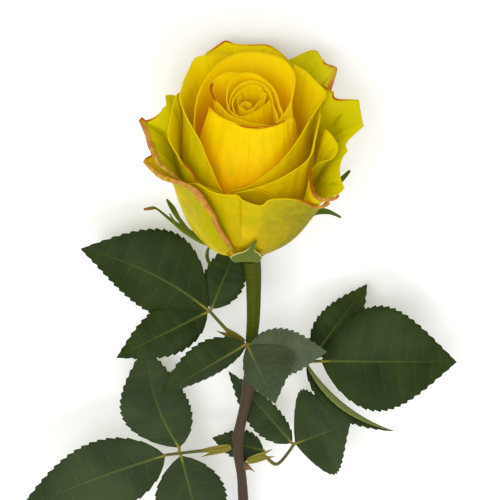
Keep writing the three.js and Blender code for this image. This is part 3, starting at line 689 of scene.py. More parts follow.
@dataclass(frozen=True)
class LeafFinish:
    """Dark green leaflets with a paler midrib and sunken side veins, matt and paler underneath.

    Attributes:
        blade: the upper face.
        light: its paler patches.
        rib: the midrib.
        under: the lower face.
        margin: the teeth's edge.
        film: the pale grey-green painted sheen on some leaves' upper faces.
        veins: side veins on each side.
        relief: how high the quilting between them is, in millimetres.
    """

    blade: str = "#202f0b"
    light: str = "#37481d"
    rib: str = "#66752c"
    under: str = "#7d8748"
    margin: str = "#3a3a1c"
    film: str = "#6d7860"
    veins: float = 8.0
    relief: float = 0.22

    def material(self) -> bpy.types.Material:
        """Build the material.

        Returns:
            The material.
        """
        finish = Finish("leaf", Specular_IOR_Level=0.1)
        along, across, rib, edge = finish.facts("along", "across", "rib", "edge")
        outside, film, seed = finish.facts("outside", "film", "seed")
        wide = across.size()
        fine = finish.cloud(rib * 0.55, along * 34.0, seed, 4.0)
        patches = finish.cloud(rib * 0.06, along * 3.0, seed * 1.9, 2.0)

        # The side veins leave the midrib by turns, and curve on their way to the margin.
        side = across.rise(-0.01, 0.01)
        bowed = along + wide * wide * 0.035
        off_vein = ((bowed * self.veins + side * 0.5).beyond_whole() - 0.5).size()
        vein = (off_vein - (0.03 - wide * 0.025)).rise(0.05, -0.02)
        vein = vein * along.rise(0.02, 0.08) * wide.rise(0.98, 0.5)
        midrib = (rib.size() + along * 0.35).rise(0.62, 0.25)

        upper = finish.layered(
            self.blade,
            (self.light, patches.rise(0.3, 0.75) * 0.7),
            (self.light, fine.rise(0.5, 0.8) * 0.25),
            (self.rib, vein * 0.08),
            (self.rib, midrib * (0.6 - along * 0.5)),
            (self.margin, edge.rise(0.5, 0.1) * 0.5),
            # Painted sheen: some leaves' upper faces are lightened to a pale grey-green in patches.
            (self.film, film * (patches * 0.6 + fine * 0.5 + 0.2)),
        )
        lower = finish.layered(self.under, (self.rib, vein * 0.5 + midrib * 0.4))
        colour = finish.layered(upper, (lower, outside))
        relief = off_vein.rise(0.0, 0.5) * 0.35 + fine * 0.25 - midrib * 0.35 - vein * 0.1
        return finish.dress(colour, relief, self.relief, fine * 0.12 + 0.42 + outside * 0.2)


@dataclass(frozen=True)
class SepalFinish:
    """Green sepals, darker outside, with a dry brown tip on some.

    Attributes:
        outer: the outer face.
        shade: the outer face's darker grain.
        far: the face far from the cup.
        inner: the inner face, which is paler and downy.
        downy: the sepal that is pressed against the petals.
        margin: its pale margin.
        tip: a dry tip.
        relief: how high the grain is, in millimetres.
    """

    outer: str = "#74840f"
    shade: str = "#4e6410"
    far: str = "#3c5a08"
    inner: str = "#74862a"
    downy: str = "#687331"
    margin: str = "#d8c27c"
    tip: str = "#8e6222"
    relief: float = 0.15

    def material(self) -> bpy.types.Material:
        """Build the material.

        Returns:
            The material.
        """
        finish = Finish("sepal", Roughness=0.6, Specular_IOR_Level=0.1)
        along, across, outside = finish.facts("along", "across", "outside")
        dry, pressed, seed = finish.facts("dry", "pressed", "seed")
        grain = finish.cloud(across * 4.0, along * 5.0, seed, 4.0)
        dark = finish.layered(self.outer, (self.shade, grain.rise(0.4, 0.75) * 0.8))
        rim = across.size().rise(0.9, 0.99) * along.rise(0.5, 0.62) * along.rise(0.95, 0.85)
        face = finish.layered(
            self.inner,
            (dark, outside),
            (self.far, along.rise(0.4, 0.8) * 0.75),
            (self.downy, pressed * (0.9 - grain * 0.5)),
            (self.margin, rim * pressed),
            (self.tip, along.rise(0.8, 0.88) * dry),
        )
        return finish.dress(face, grain, self.relief)


class Ripeness(Enum):
    """How a shoot ripens: near and far colour, where they change and over how far, in millimetres."""

    STEM = ("#464d00", "#4b3d2e", 40.0, 20.0)
    STALK = ("#827a2c", "#5c5a30", 9.0, 8.0)
    STIPULE = ("#8c8430", "#7d6a32", 7.0, 8.0)
    PRICKLE = ("#54382c", "#7d5c3c", 0.5, 3.0)


@dataclass(frozen=True)
class ShootFinish:
    """Smooth bark that turns from one colour to another along a shoot.

    Attributes:
        ripeness: which shoot it is.
        streak: the dark streaks of its ripe part.
        fleck: its pale flecks.
        relief: how high its grain is, in millimetres.
    """

    ripeness: Ripeness
    streak: str = "#34291f"
    fleck: str = "#a9a06a"
    relief: float = 0.12

    def material(self) -> bpy.types.Material:
        """Build the material.

        Returns:
            The material.
        """
        near, far, change, spread = self.ripeness.value
        finish = Finish("shoot_" + self.ripeness.name.lower(), Specular_IOR_Level=0.12)
        along, around = finish.facts("along", "around")
        streaks = finish.cloud(around * 2.2, along * 0.09, 0.0, 4.0)
        grain = finish.grain(900.0, 4.0)
        ripe = (along + streaks * spread - spread * 0.5).rise(change - spread * 0.5, change + spread * 0.5)
        bark = finish.layered(
            near,
            (far, ripe),
            (self.streak, streaks.rise(0.5, 0.8) * ripe * 0.45),
            (self.fleck, grain.rise(0.62, 0.75) * 0.2),
        )
        return finish.dress(bark, grain * 0.6 + streaks * 0.6, self.relief, grain * 0.15 + 0.38)


@dataclass(frozen=True)
class CutFinish:
    """The stem's fresh cut: pale wood round a white pith, with a thin green bark.

    Attributes:
        bark: the cut bark.
        wood: the wood.
        pith: the pith.
        pore: the darker pores.
        relief: how high the wood's grain is, in millimetres.
    """

    bark: str = "#5f6a35"
    wood: str = "#b9b577"
    pith: str = "#e6e2c0"
    pore: str = "#8e8a55"
    relief: float = 0.1

    def material(self) -> bpy.types.Material:
        """Build the material.

        Returns:
            The material.
        """
        finish = Finish("cut_wood", Roughness=0.7)
        inward = finish.facts("inward")[0]
        grain = finish.grain(2500.0, 3.0)
        wood = finish.layered(self.wood, (self.pith, inward.rise(0.55, 0.8)))
        pores = grain.rise(0.55, 0.7) * 0.3
        face = finish.layered(self.bark, (wood, inward.rise(0.08, 0.16)), (self.pore, pores))
        return finish.dress(face, grain, self.relief)


@dataclass(frozen=True)
class RimPoint:
    """One point of a petal's rim, measured from the flower's axis.

    Attributes:
        turn: degrees round the axis, from the front towards the right.
        out: distance from the axis, in millimetres.
        up: height over the petals' foot, in millimetres.
        flare: how far the blade leans outwards at the rim, in degrees.
        lip: length of the edge that rolls back, in millimetres.
        scallop: how far the rim sinks between this point and the next, which makes both of them tips.
    """

    turn: float
    out: float
    up: float
    flare: float = 10.0
    lip: float = 0.5
    scallop: float = 0.0


@dataclass(frozen=True)
class Petal:
    """A petal that runs from its foot by the axis up to a rim through given points.

    Attributes:
        name: the piece's name.
        rim: the rim from the petal's left side to its right one.
        foot_out: distance of the foot from the axis.
        foot_up: height of the foot.
        foot_lean: how far the blade leans outwards at its foot, in degrees.
        belly: how far the lower blade follows that lean, as a share of its length.
        shoulder: how far the upper blade follows the rim's flare, as a share of its length.
        claw: how wide the foot is in turn, as a share of the rim.
        guard: how much of the outer petals' green it has, from 0 to 1.
        pale: how much its outer face has paled, from 0 to 1.
        greened: how far painted olive shade darkens the outer face's right side.
        wave: how far the upper blade waves in and out, in millimetres.
        roll: how far round the lip rolls, in degrees.
        least_lip: the shortest lip, in millimetres.
        seed: where the waves start.
    """

    name: str
    rim: tuple[RimPoint, ...]
    foot_out: float = 5.0
    foot_up: float = 2.0
    foot_lean: float = 78.0
    belly: float = 0.48
    shoulder: float = 0.33
    claw: float = 0.75
    guard: float = 0.0
    pale: float = 0.1
    greened: float = 0.0
    wave: float = 0.5
    roll: float = 150.0
    least_lip: float = 0.3
    seed: int = 0

    def blade(self, columns: int, rows: int, lip_rows: int) -> Blade:
        """Work out the blade's middle surface in the flower's own frame, in millimetres.

        Args:
            columns: fewest cells across the blade.
            rows: cells from its foot to its rim.
            lip_rows: cells round its rolled lip.

        Returns:
            The blade.
        """
        turn, out, up, lean, lip = self._rim_line(columns)
        across = np.linspace(-1.0, 1.0, len(turn))
        v = np.linspace(0.0, 1.0, rows + 1)[:, None]
        out, up = self._profile(out, up, lean, v)
        out = out + self._wave(across) * v**2.5
        middle = 0.5 * (turn.min() + turn.max())
        points = around_axis(middle + (turn - middle) * (self.claw + (1 - self.claw) * v), out, up)
        points = np.concatenate([points, self._lip(points, lip, lip_rows)])
        run = arc_lengths(points)
        edge = run[-1] - run
        edge[rows:] = 0.0
        past_rim = np.maximum(np.arange(len(points)) - rows, 0)[:, None]
        return Blade.with_facts(
            points,
            along=np.concatenate([v, np.ones((lip_rows, 1))]),
            across=across,
            edge=edge,
            lip=lip,
            roll=past_rim / lip_rows,
            guard=self.guard,
            greened=self.greened,
            pale=self.pale,
            seed=self.seed,
        )

    def _rim_line(self, columns: int) -> tuple[np.ndarray, ...]:
        """Follow the rim through its points, and let it sink between its tips.

        Args:
            columns: fewest cells across the blade.

        Returns:
            Turn, distance, height, lean outwards in radians, and lip.
        """
        knots = np.array([[p.turn, p.out, p.up, p.flare, p.lip] for p in self.rim])
        spans = len(knots) - 1
        t = np.linspace(0.0, spans, math.ceil(columns / spans) * spans + 1)
        turn, out, up, flare, lip = smooth_through(knots, t).T
        span = np.minimum(np.floor(t).astype(int), spans - 1)
        f = t - span
        sink = np.array([p.scallop for p in self.rim])[span] * 4.0 * f * (1.0 - f)
        lean = np.radians(flare)
        return turn, out - sink * np.sin(lean), up - sink * np.cos(lean), lean, lip

    def _profile(
        self, out: np.ndarray, up: np.ndarray, lean: np.ndarray, v: np.ndarray
    ) -> tuple[np.ndarray, np.ndarray]:
        """Curve the blade from its foot to its rim, whose fine detail only its upper part follows.

        Args:
            out: the rim's distances from the axis.
            up: its heights.
            lean: its leans outwards, in radians.
            v: a column of places from 0 at the foot to 1 at the rim.

        Returns:
            Distances and heights over the whole blade.
        """
        broad_out, broad_up = broadened(out), broadened(up)
        length = np.hypot(broad_out - self.foot_out, broad_up - self.foot_up)
        foot_lean = math.radians(self.foot_lean)
        low_out = self.foot_out + self.belly * length * math.sin(foot_lean)
        low_up = self.foot_up + self.belly * length * math.cos(foot_lean)
        high_out = broad_out - self.shoulder * length * np.sin(lean)
        high_up = broad_up - self.shoulder * length * np.cos(lean)
        b0, b1, b2, b3 = (1 - v) ** 3, 3 * v * (1 - v) ** 2, 3 * v**2 * (1 - v), v**3
        blade_out = b0 * self.foot_out + b1 * low_out + b2 * high_out + b3 * broad_out
        blade_up = b0 * self.foot_up + b1 * low_up + b2 * high_up + b3 * broad_up
        detail = v**4
        return blade_out + (out - broad_out) * detail, blade_up + (up - broad_up) * detail

    def _wave(self, across: np.ndarray) -> np.ndarray:
        """Wave the rim in and out.

        Args:
            across: places across the blade, from -1 to 1.

        Returns:
            How far out it waves, in millimetres: a slow wave and a weaker quick one.
        """
        phase = GOLDEN_ANGLE * self.seed
        slow = np.sin(5.3 * across + phase)
        quick = np.sin(11.7 * across + 1.7 * phase + 0.6)
        return self.wave * (0.7 * slow + 0.3 * quick)

    def _lip(self, points: np.ndarray, lip: np.ndarray, lip_rows: int) -> np.ndarray:
        """Roll the edge: carry on past the rim and turn over outwards.

        Args:
            points: the blade up to its rim.
            lip: the lip's length at each column.
            lip_rows: cells round it.

        Returns:
            The lip's rows of points.
        """
        rim = points[-1]
        along_rim = unit(np.gradient(rim, axis=0))
        up_blade = unit(points[-1] - points[-2])
        outwards = unit(np.cross(along_rim, up_blade))
        onwards = unit(np.cross(outwards, along_rim))
        reach = np.maximum(lip, self.least_lip)[:, None]
        full = math.radians(self.roll)
        turns = [full * k / lip_rows for k in range(1, lip_rows + 1)]
        return np.array([
            rim + reach / full * (math.sin(a) * onwards + (1.0 - math.cos(a)) * outwards) for a in turns
        ])


def rim(*points: tuple[float, ...]) -> tuple[RimPoint, ...]:
    """Read a petal's rim from rows of turn, out, up, flare, lip and scallop."""
    return tuple(RimPoint(*p) for p in points)


INNER = {"foot_out": 2.5, "foot_up": 8.0, "foot_lean": 30.0, "belly": 0.45, "shoulder": 0.4, "wave": 0.15}
MIDDLE = {"foot_out": 5.0, "foot_up": 5.0, "foot_lean": 50.0, "belly": 0.58, "wave": 0.3}
OUTER = {"foot_out": 6.0, "foot_up": 4.6, "foot_lean": 57.0, "belly": 0.5, "wave": 0.6}
FULL = OUTER | {"belly": 0.58, "shoulder": 0.31}
HEART = {"foot_out": 5.0, "foot_up": 4.6, "foot_lean": 52.0, "belly": 0.5, "wave": 0.3}
SCROLL = {"foot_out": 6.0, "foot_up": 4.6, "foot_lean": 57.0, "belly": 0.42, "shoulder": 0.3, "wave": 0.0}

PETALS = (
    Petal("petal_bud", rim(
        (-260, 1.5, 60.8, -5), (-170, 0.8, 61.5, -5), (-95, 1.2, 61.5, -5), (-30, 1.8, 60.5, -5),
        (40, 2.0, 59.5, -5)), **INNER),
    Petal("petal_coil_a", rim(
        (-160, 4.0, 62, -5), (-122, 3.0, 62, -5), (-84, 2.3, 61.5, -5), (-27, 2.5, 61, -5),
        (20, 2.4, 60, -5), (60, 2.6, 58, -5)), seed=1, **INNER),
    Petal("petal_coil_b", rim(
        (-60, 3.0, 59, -5), (-7, 2.7, 60.5, -5), (59, 3.0, 61.5, -4), (93, 3.9, 62, -2),
        (102, 5.6, 62.5, 0), (119, 6.8, 63, 0), (140, 6.6, 62.5, 0)), seed=2, **INNER),
    Petal("petal_coil_c", rim(
        (120, 7.4, 59, 0), (130, 7.5, 62, 0), (144, 7.3, 64, 2), (161, 6.4, 64.5, 2), (180, 5.6, 64, 2),
        (205, 4.5, 63.5, 0), (235, 4.0, 63, -2), (270, 4.3, 62.3, -4), (300, 4.6, 61, -4),
        (330, 4.8, 59, -4)), seed=3, **INNER),
    Petal("petal_coil_d", rim(
        (50, 12.2, 57, 0), (59, 11.6, 60, 0), (77, 8.9, 61.5, 0), (102, 8.2, 62.5, 0), (127, 8.4, 63.6, 2),
        (144, 8.3, 64.5, 4), (161, 8.0, 65, 4), (180, 7.2, 65, 4), (205, 6.0, 64.5, 2), (235, 5.2, 63.5, 0),
        (269, 5.0, 61.5, -2), (290, 5.2, 59, -2)), seed=4, **INNER),
    Petal("petal_coil_front", rim(
        (-75, 5.8, 59, -5), (-56, 5.8, 61, -6), (-20, 6.4, 61, -8), (0, 6.1, 61.2, -8), (23, 5.6, 61.6, -6),
        (54, 5.6, 62, -4), (78, 6.6, 62.5, -2), (88, 7.4, 63, 0, 0.6), (93, 7.9, 61, 0), (93, 8.8, 58, 0),
        (88, 9.8, 55, 0)), seed=5, **INNER),
    Petal("petal_coil_ring", rim(
        (66, 12.4, 58, 2), (73, 11.8, 61, 2), (83, 10.6, 62, 3), (105, 9.9, 63, 4), (129, 10.0, 64, 6),
        (144, 9.9, 65, 8), (160, 9.8, 66, 8), (181, 10.4, 66, 8), (207, 8.8, 66, 6), (233, 7.3, 65, 4),
        (253, 6.3, 63.5, 0), (282, 5.9, 62, -2), (300, 5.6, 60, -2)), seed=6, **INNER),
    Petal("petal_coil_left", rim(
        (-175, 11.0, 65, 8), (-160, 11.2, 66, 10), (-144, 12.2, 66, 12), (-128, 12.7, 65, 12),
        (-116, 12.1, 64.5, 10, 0.9), (-102, 10.8, 64, 8, 0.9), (-92, 9.8, 63, 4, 0.8), (-80, 8.8, 62.5, 0),
        (-59, 8.0, 62, -4), (-37, 8.0, 61.5, -8), (-13, 8.6, 61.5, -8), (8, 9.6, 61, -8),
        (26, 10.6, 60.5, -6), (44, 11.6, 59, -4)), seed=7, **INNER),
    Petal("petal_heart_front", rim(
        (-78, 11.8, 61.6, -18), (-70, 11.7, 62.2, -18), (-47, 11.2, 62, -14), (-23, 11.5, 62, -12),
        (2, 12.7, 61.5, -8, 0.9), (19, 13.3, 61.5, -6, 1.1), (44, 15.0, 62, -2, 0.9), (57, 15.2, 61.6, 0),
        (68, 15.3, 60.3, 0), (78, 15.7, 57, 0), (87, 16.3, 51, 0), (94, 17.0, 44, 0)), seed=8, **HEART),
    Petal("petal_heart_back", rim(
        (40, 12.8, 58, -4), (50, 13.3, 60.5, -4), (60, 13.6, 62, -3), (84, 14.4, 63.5, 2),
        (103, 15.4, 64.5, 12), (121, 17.7, 65, 22), (134, 19.7, 65.5, 30), (148, 21.5, 66, 36),
        (165, 22.0, 66, 40), (180, 22.0, 66, 40), (193, 20.7, 66, 36), (210, 18.3, 65.7, 26),
        (228, 16.3, 65, 16), (246, 15.6, 64, 8), (262, 15.6, 62, 0), (276, 16.2, 59, -6),
        (290, 17.2, 55, -8), (300, 18.3, 50, -8)), seed=9, **HEART),
    Petal("petal_left_inner", rim(
        (-188, 24.4, 57, 36), (-174, 24.4, 61.5, 40), (-161, 24.3, 64.5, 42), (-149, 23.7, 66, 40),
        (-138, 24.7, 66, 38, 0.5, 0.4), (-122, 22.3, 64.8, 28), (-105, 21.1, 64.2, 20),
        (-92, 21.2, 63.5, 14), (-80, 20.8, 63, 10), (-68, 20.4, 62, 8), (-57, 20.2, 60.5, 5),
        (-46, 20.4, 58, 2), (-38, 20.4, 52.5, 0), (-30, 21.0, 48, 0), (-24, 21.6, 44, 0),
        (-18, 22.0, 40, 0)), guard=0.4, seed=10, **MIDDLE),
    Petal("petal_right_inner", rim(
        (-22, 20.6, 38, 0), (-12, 20.6, 42, 0), (0, 20.7, 43.7, 2), (15, 20.5, 47.3, 2),
        (31, 20.1, 50.5, 4), (46, 19.7, 53.5, 6), (62, 19.4, 56, 10), (74, 19.8, 57.5, 12),
        (86, 21.2, 58.5, 18), (98, 24.0, 59.5, 28), (106, 26.4, 60.7, 34), (116, 24.8, 62.6, 34),
        (127, 23.9, 64, 32), (138, 22.8, 64.5, 30)), guard=0.3, seed=11, **MIDDLE),
    Petal("petal_right_middle", rim(
        (-25, 22.0, 38, 0), (-12, 22.4, 41.5, 2), (0, 22.4, 43.9, 4), (21, 22.1, 46, 6),
        (38, 23.0, 47.8, 10), (50, 24.3, 49.7, 14), (59, 24.6, 52, 16), (67, 23.6, 54.5, 14),
        (76, 23.0, 56.5, 12), (95, 23.4, 57, 16)), guard=0.2, seed=12, **MIDDLE),
    Petal("petal_right_scroll", rim(
        (49, 39.0, 44, 60, 1.2), (46, 38.6, 43.4, 60, 1.4), (41.5, 36.0, 43.2, 50, 1.4),
        (41, 32.6, 43.8, 40, 1.2), (45, 28.8, 45, 30, 1.0), (52, 26.0, 46.5, 22, 0.8),
        (60, 26.6, 48, 24, 0.6), (65, 30.0, 49.5, 34), (70, 30.8, 52, 36), (73, 29.0, 54, 34),
        (77, 26.3, 55.3, 28), (84, 24.9, 53, 20), (95, 24.4, 48, 16), (112, 23.5, 42, 14)),
        guard=0.6, pale=0.2, seed=13, **SCROLL),
    Petal("petal_left_middle", rim(
        (-112, 22.2, 60, 20), (-100, 22.8, 62, 22), (-93, 23.6, 60.8, 22), (-82, 24.4, 58.5, 22),
        (-70, 26.2, 55, 22), (-61, 25.3, 51.5, 18), (-53, 24.9, 49.2, 15, 0.7), (-45, 24.3, 48.3, 12, 0.8),
        (-40, 24.1, 45.8, 10, 0.8), (-35, 24.4, 44.3, 10, 0.6), (-28, 24.0, 43.3, 10),
        (-18, 23.6, 42.5, 10, 0.7), (-10, 23.3, 42.5, 10), (-5, 22.8, 43.4, 10), (8, 22.9, 44.2, 10),
        (18, 23.2, 42, 10), (28, 23.6, 37, 10)), guard=0.5, seed=14, **OUTER),
    Petal("petal_right_guard", rim(
        (40, 30.0, 37, 35), (49, 34.0, 41, 50), (56, 37.0, 44, 60, 0.4, 3.2), (74, 33.8, 50, 60, 0.4, 2.4),
        (88, 37.6, 54, 65, 0.4, 1.4), (103, 36.8, 57, 65, 0.6, 2.6), (108, 28.6, 59.6, 50, 0.8),
        (125, 26.5, 60, 40)), guard=0.85, pale=0.3, seed=15, **OUTER),
    Petal("petal_back_right", rim(
        (108, 26.0, 56, 45), (113, 28.8, 59, 50, 1.2, 0.6), (124, 34.9, 62, 62, 1.4, 1.0),
        (134, 34.2, 61.5, 60, 0.6), (142, 35.2, 62.5, 60, 0.6), (151, 30.0, 60.5, 50), (165, 28.0, 58, 45)),
        guard=0.9, seed=16, **OUTER),
    Petal("petal_back", rim(
        (140, 26.5, 60, 42), (149, 26.6, 62.3, 46, 0.6), (158, 27.4, 63.6, 50, 0.6),
        (168, 29.2, 64.3, 52, 0.7, 0.5), (186, 29.8, 64.0, 54, 0.6), (193, 31.7, 64.4, 56, 0.8, 0.7),
        (206, 27.8, 64, 48, 0.6), (212, 26.4, 62, 44)), guard=0.4, pale=0.3, seed=17, **OUTER),
    Petal("petal_left_guard", rim(
        (-118, 24.0, 56, 42), (-106, 26.1, 59.4, 52, 0.5, 0.9), (-96, 26.6, 57.8, 58, 0.5, 0.6),
        (-90, 31.8, 54.7, 66, 0.8, 0.5), (-92, 34.3, 54.4, 68, 1.2, 0.4), (-82, 31.6, 51.4, 62, 1.6),
        (-74, 30.4, 49.9, 58, 1.8), (-67, 30, 47.7, 52, 1.8), (-60, 28.2, 46, 42, 1.6),
        (-52, 26.5, 43, 30, 1.2)), guard=0.9, pale=0.4, seed=18, **OUTER),
    Petal("petal_front_left", rim(
        (-135, 27.0, 40, 32), (-115, 28.5, 43, 38), (-95, 28.8, 44.5, 45, 0.6),
        (-82, 29.8, 45.2, 50, 0.8, 0.4), (-73, 34, 46.4, 60, 1.3, 0.9), (-63, 31, 44.8, 48, 2),
        (-55, 28.8, 44.6, 36, 2.2), (-47, 27.6, 44.8, 26, 2.0), (-37, 27.6, 44.8, 14, 2.8),
        (-30, 28.3, 43.6, 4, 3.6), (-25, 28.4, 39, 0, 3.8), (-22, 27.2, 32.5, 0, 3.8),
        (-16, 24.6, 25, 5, 2.6), (-12, 20.2, 17.8, 25, 0.8)), guard=0.35, pale=0.9, seed=19, **FULL),
    Petal("petal_front", rim(
        (-62, 24.5, 36, 12), (-48, 25.0, 42, 14), (-36, 26.0, 45.3, 16), (-25, 26.2, 45, 16),
        (-15, 26.5, 45, 18), (-6, 26.6, 45, 18), (-2, 28.0, 44, 20), (9, 29.7, 43, 22), (15, 28.8, 44, 22),
        (26, 29.0, 43.2, 22), (36, 30.5, 41.7, 26, 0.8), (43, 32.1, 38.8, 32, 1.4),
        (49, 33.4, 38.6, 38, 1.5), (56, 31, 36, 34, 1)),
        guard=0.35, pale=0.12, greened=0.9, seed=20, **OUTER),
    Petal("petal_under_right", rim(
        (85, 27.0, 40, 32), (110, 29.5, 46, 38), (138, 34.0, 50, 46), (158, 37.5, 51, 52),
        (174, 35.0, 51, 50), (192, 30.0, 47, 40)), guard=0.6, pale=0.6, seed=21, **OUTER),
    Petal("petal_under_left", rim(
        (-198, 30.0, 46, 40), (-178, 35.0, 50, 50), (-158, 37.5, 50.5, 52), (-130, 31.0, 46, 42),
        (-105, 26.5, 41, 32)), guard=0.6, pale=0.6, seed=22, **OUTER),
)


@dataclass(frozen=True)
class Bloom:
    """The open flower: its petals in layers round a tight heart, and the bulb of their bases.

    Attributes:
        petals: the petals, from the heart outwards.
        thickness: a petal's thickness, in millimetres.
        thinning: how much of it a petal loses by its rim, as a share.
        columns: fewest cells across a petal.
        rows: cells from a petal's foot to its rim.
        lip_rows: cells round a rolled lip.
        clearance: how high a petal's middle surface stays over the ground, as a share of its thickness.
        core: the bulb's outline as distance and height, which the petals hide.
    """

    petals: tuple[Petal, ...] = PETALS
    thickness: float = 0.4
    thinning: float = 0.55
    columns: int = 56
    rows: int = 30
    lip_rows: int = 5
    clearance: float = 0.55
    core: tuple[tuple[float, float], ...] = (
        (0, 3.4), (4.7, 3.4), (8.2, 6.6), (10.8, 8.8), (14.0, 11.8), (14.6, 15), (13.0, 20), (10.4, 28),
        (7.4, 37), (5.4, 43.5), (0, 45.5))

    def build(self, finish: bpy.types.Material) -> list[bpy.types.Object]:
        """Make every petal and the bulb, and dress them.

        Args:
            finish: the petals' material.

        Returns:
            The pieces.
        """
        pieces = []
        for petal in self.petals:
            blade = petal.blade(self.columns, self.rows, self.lip_rows)
            blade.points = self._pressed(REST.lay_head(blade.points))
            pieces.append(MeshMaker.sheet(petal.name, blade, self.thickness, self.thinning))
        pieces.append(MeshMaker.turned("petal_bases", self.core, REST.lay_head))
        return [dressed(piece, "bloom", "petal", finish) for piece in pieces]

    def _pressed(self, points: np.ndarray) -> np.ndarray:
        """Press what lies on the ground flat, so that it doesn't sink in.

        Args:
            points: a petal's middle surface as it lies.

        Returns:
            The same, with no point too low.
        """
        pressed = points.copy()
        pressed[..., 2] = np.maximum(points[..., 2], self.thickness * self.clearance * MM)
        return pressed


@dataclass(frozen=True)
class Sepal:
    """One sepal, or a side lobe of one.

    Attributes:
        name: the piece's name.
        path: rows of degrees round, distance, height and half width, in the flower's own frame.
        dry: how dry and brown its tip is, from 0 to 1.
        pressed: 1 for the sepal that is pressed against the petals, which has a pale margin.
        ragged: how uneven its width is, as a share.
        ripple: how fast that changes along it, in radians over its length.
        curl: how far its margins curl down, in millimetres for each one of half width.
        outward: how far they come outwards as they do, as a share.
        least: its smallest half width.
    """

    name: str
    path: tuple[tuple[float, float, float, float], ...]
    dry: float = 0.0
    pressed: float = 0.0
    ragged: float = 0.04
    ripple: float = 33.0
    curl: float = 0.25
    outward: float = 0.4
    least: float = 0.25

    def blade(self, columns: int, rows: int, seed: int) -> Blade:
        """Work out its middle surface in the flower's own frame, in millimetres.

        Args:
            columns: cells across it.
            rows: cells along it.
            seed: where its unevenness starts.

        Returns:
            The blade.
        """
        knots = np.array(self.path, dtype=float)
        s = np.linspace(0.0, 1.0, rows + 1)[:, None]
        turn, out, up, half_width = smooth_through(knots, s[:, 0] * (len(knots) - 1)).T[..., None]
        u = np.linspace(-1.0, 1.0, columns + 1)
        uneven = 1.0 + self.ragged * np.sin(s * self.ripple + seed) * np.sin(s * math.pi)
        aside = u * (np.maximum(half_width, self.least) * uneven)
        curl = self.curl * np.abs(u) ** 3 * np.minimum(half_width, 2.0)
        points = around_axis(turn + np.degrees(aside / out), out + curl * self.outward, up - curl)
        return Blade.with_facts(points, along=s, across=u, dry=self.dry, pressed=self.pressed, seed=seed)


@dataclass(frozen=True)
class Calyx:
    """The green cup under the petals and its five sepals.

    Attributes:
        cup: the cup's outline as distance and height.
        sepals: the sepals and their side lobes.
        thickness: a sepal's thickness, in millimetres.
        columns: cells across a sepal.
        rows: cells along one.
    """

    cup: tuple[tuple[float, float], ...] = (
        (0, -0.5), (2.2, -0.5), (2.8, -0.3), (3.6, 0.4), (4.7, 1.2), (5.5, 1.9), (6.0, 2.5), (5.7, 2.8),
        (5.2, 2.85), (0, 2.8))
    sepals: tuple[Sepal, ...] = (
        Sepal("sepal_front", (
            (0, 4.6, 1.4, 4.2), (0, 9.2, 5.2, 3.6), (0, 13.9, 8.6, 3.2), (0, 16.7, 10.9, 3.6),
            (0, 19.3, 13.4, 4.5), (0, 21, 16.1, 5), (1, 22.3, 18.6, 3.8), (3.6, 23.1, 20.9, 1.2),
            (7, 24.6, 25.2, 0.45)), pressed=1.0),
        Sepal("sepal_right", (
            (102, 4.6, 1.4, 3.4), (101, 9, 5.2, 3.2), (101, 13.5, 9, 2.8), (101, 18, 13.3, 2.3),
            (101, 22.5, 15.2, 1.8), (100, 27, 14.9, 1.3), (99, 31.2, 12.3, 0.5))),
        Sepal("sepal_right_behind", (
            (118, 4.6, 1.4, 3.4), (118, 9, 5.2, 3.2), (118, 14, 9.3, 2.6), (118, 20, 14, 2.2),
            (118, 26, 15.5, 1.9), (118, 33.8, 18.2, 1.3), (118, 38.5, 21.4, 0.5))),
        Sepal("sepal_left_behind", (
            (-115, 4.6, 1.4, 3.4), (-115, 8.2, 3.6, 3), (-115, 11.2, 2.8, 2.2), (-115, 13.3, 0.2, 1.6),
            (-115, 14.2, -3.6, 1.1), (-115, 14, -6, 0.8), (-115, 13.1, -8.1, 0.5))),
        Sepal("sepal_left", (
            (-84, 4.6, 1.4, 3.4), (-88, 9.5, 5.2, 3), (-90, 15.2, 7.7, 2.3), (-90, 20, 10.9, 1.8),
            (-90, 24.5, 14.9, 0.9), (-90, 28.9, 19.3, 0.45), (-90, 30.6, 19.8, 0.8),
            (-90, 33.3, 19.2, 0.4)), dry=1.0),
        Sepal("sepal_left_lobe", (
            (-91, 18, 9.4, 1), (-99, 21.8, 12.2, 1.1), (-105, 24.6, 14.4, 1.5), (-109, 27.6, 16.4, 0.4))),
        Sepal("sepal_left_barb_low", (
            (-90, 20.8, 11.8, 1.0), (-91, 21.9, 14.3, 0.4), (-92, 22.6, 16.0, 0.2))),
        Sepal("sepal_left_barb_high", (
            (-90, 23.2, 13.8, 0.9), (-90, 24.2, 15.8, 0.4), (-90, 24.9, 17.4, 0.2))),
    )
    thickness: float = 0.35
    columns: int = 14
    rows: int = 48

    def build(self, finish: bpy.types.Material) -> list[bpy.types.Object]:
        """Make the cup and the sepals, and dress them.

        Args:
            finish: the sepals' material.

        Returns:
            The pieces.
        """
        pieces = [MeshMaker.turned("calyx_cup", self.cup, REST.lay_head)]
        for seed, sepal in enumerate(self.sepals):
            blade = sepal.blade(self.columns, self.rows, seed)
            blade.points = REST.lay_head(blade.points)
            pieces.append(MeshMaker.sheet(sepal.name, blade, self.thickness))
        return [dressed(piece, "calyx", "sepal", finish) for piece in pieces]


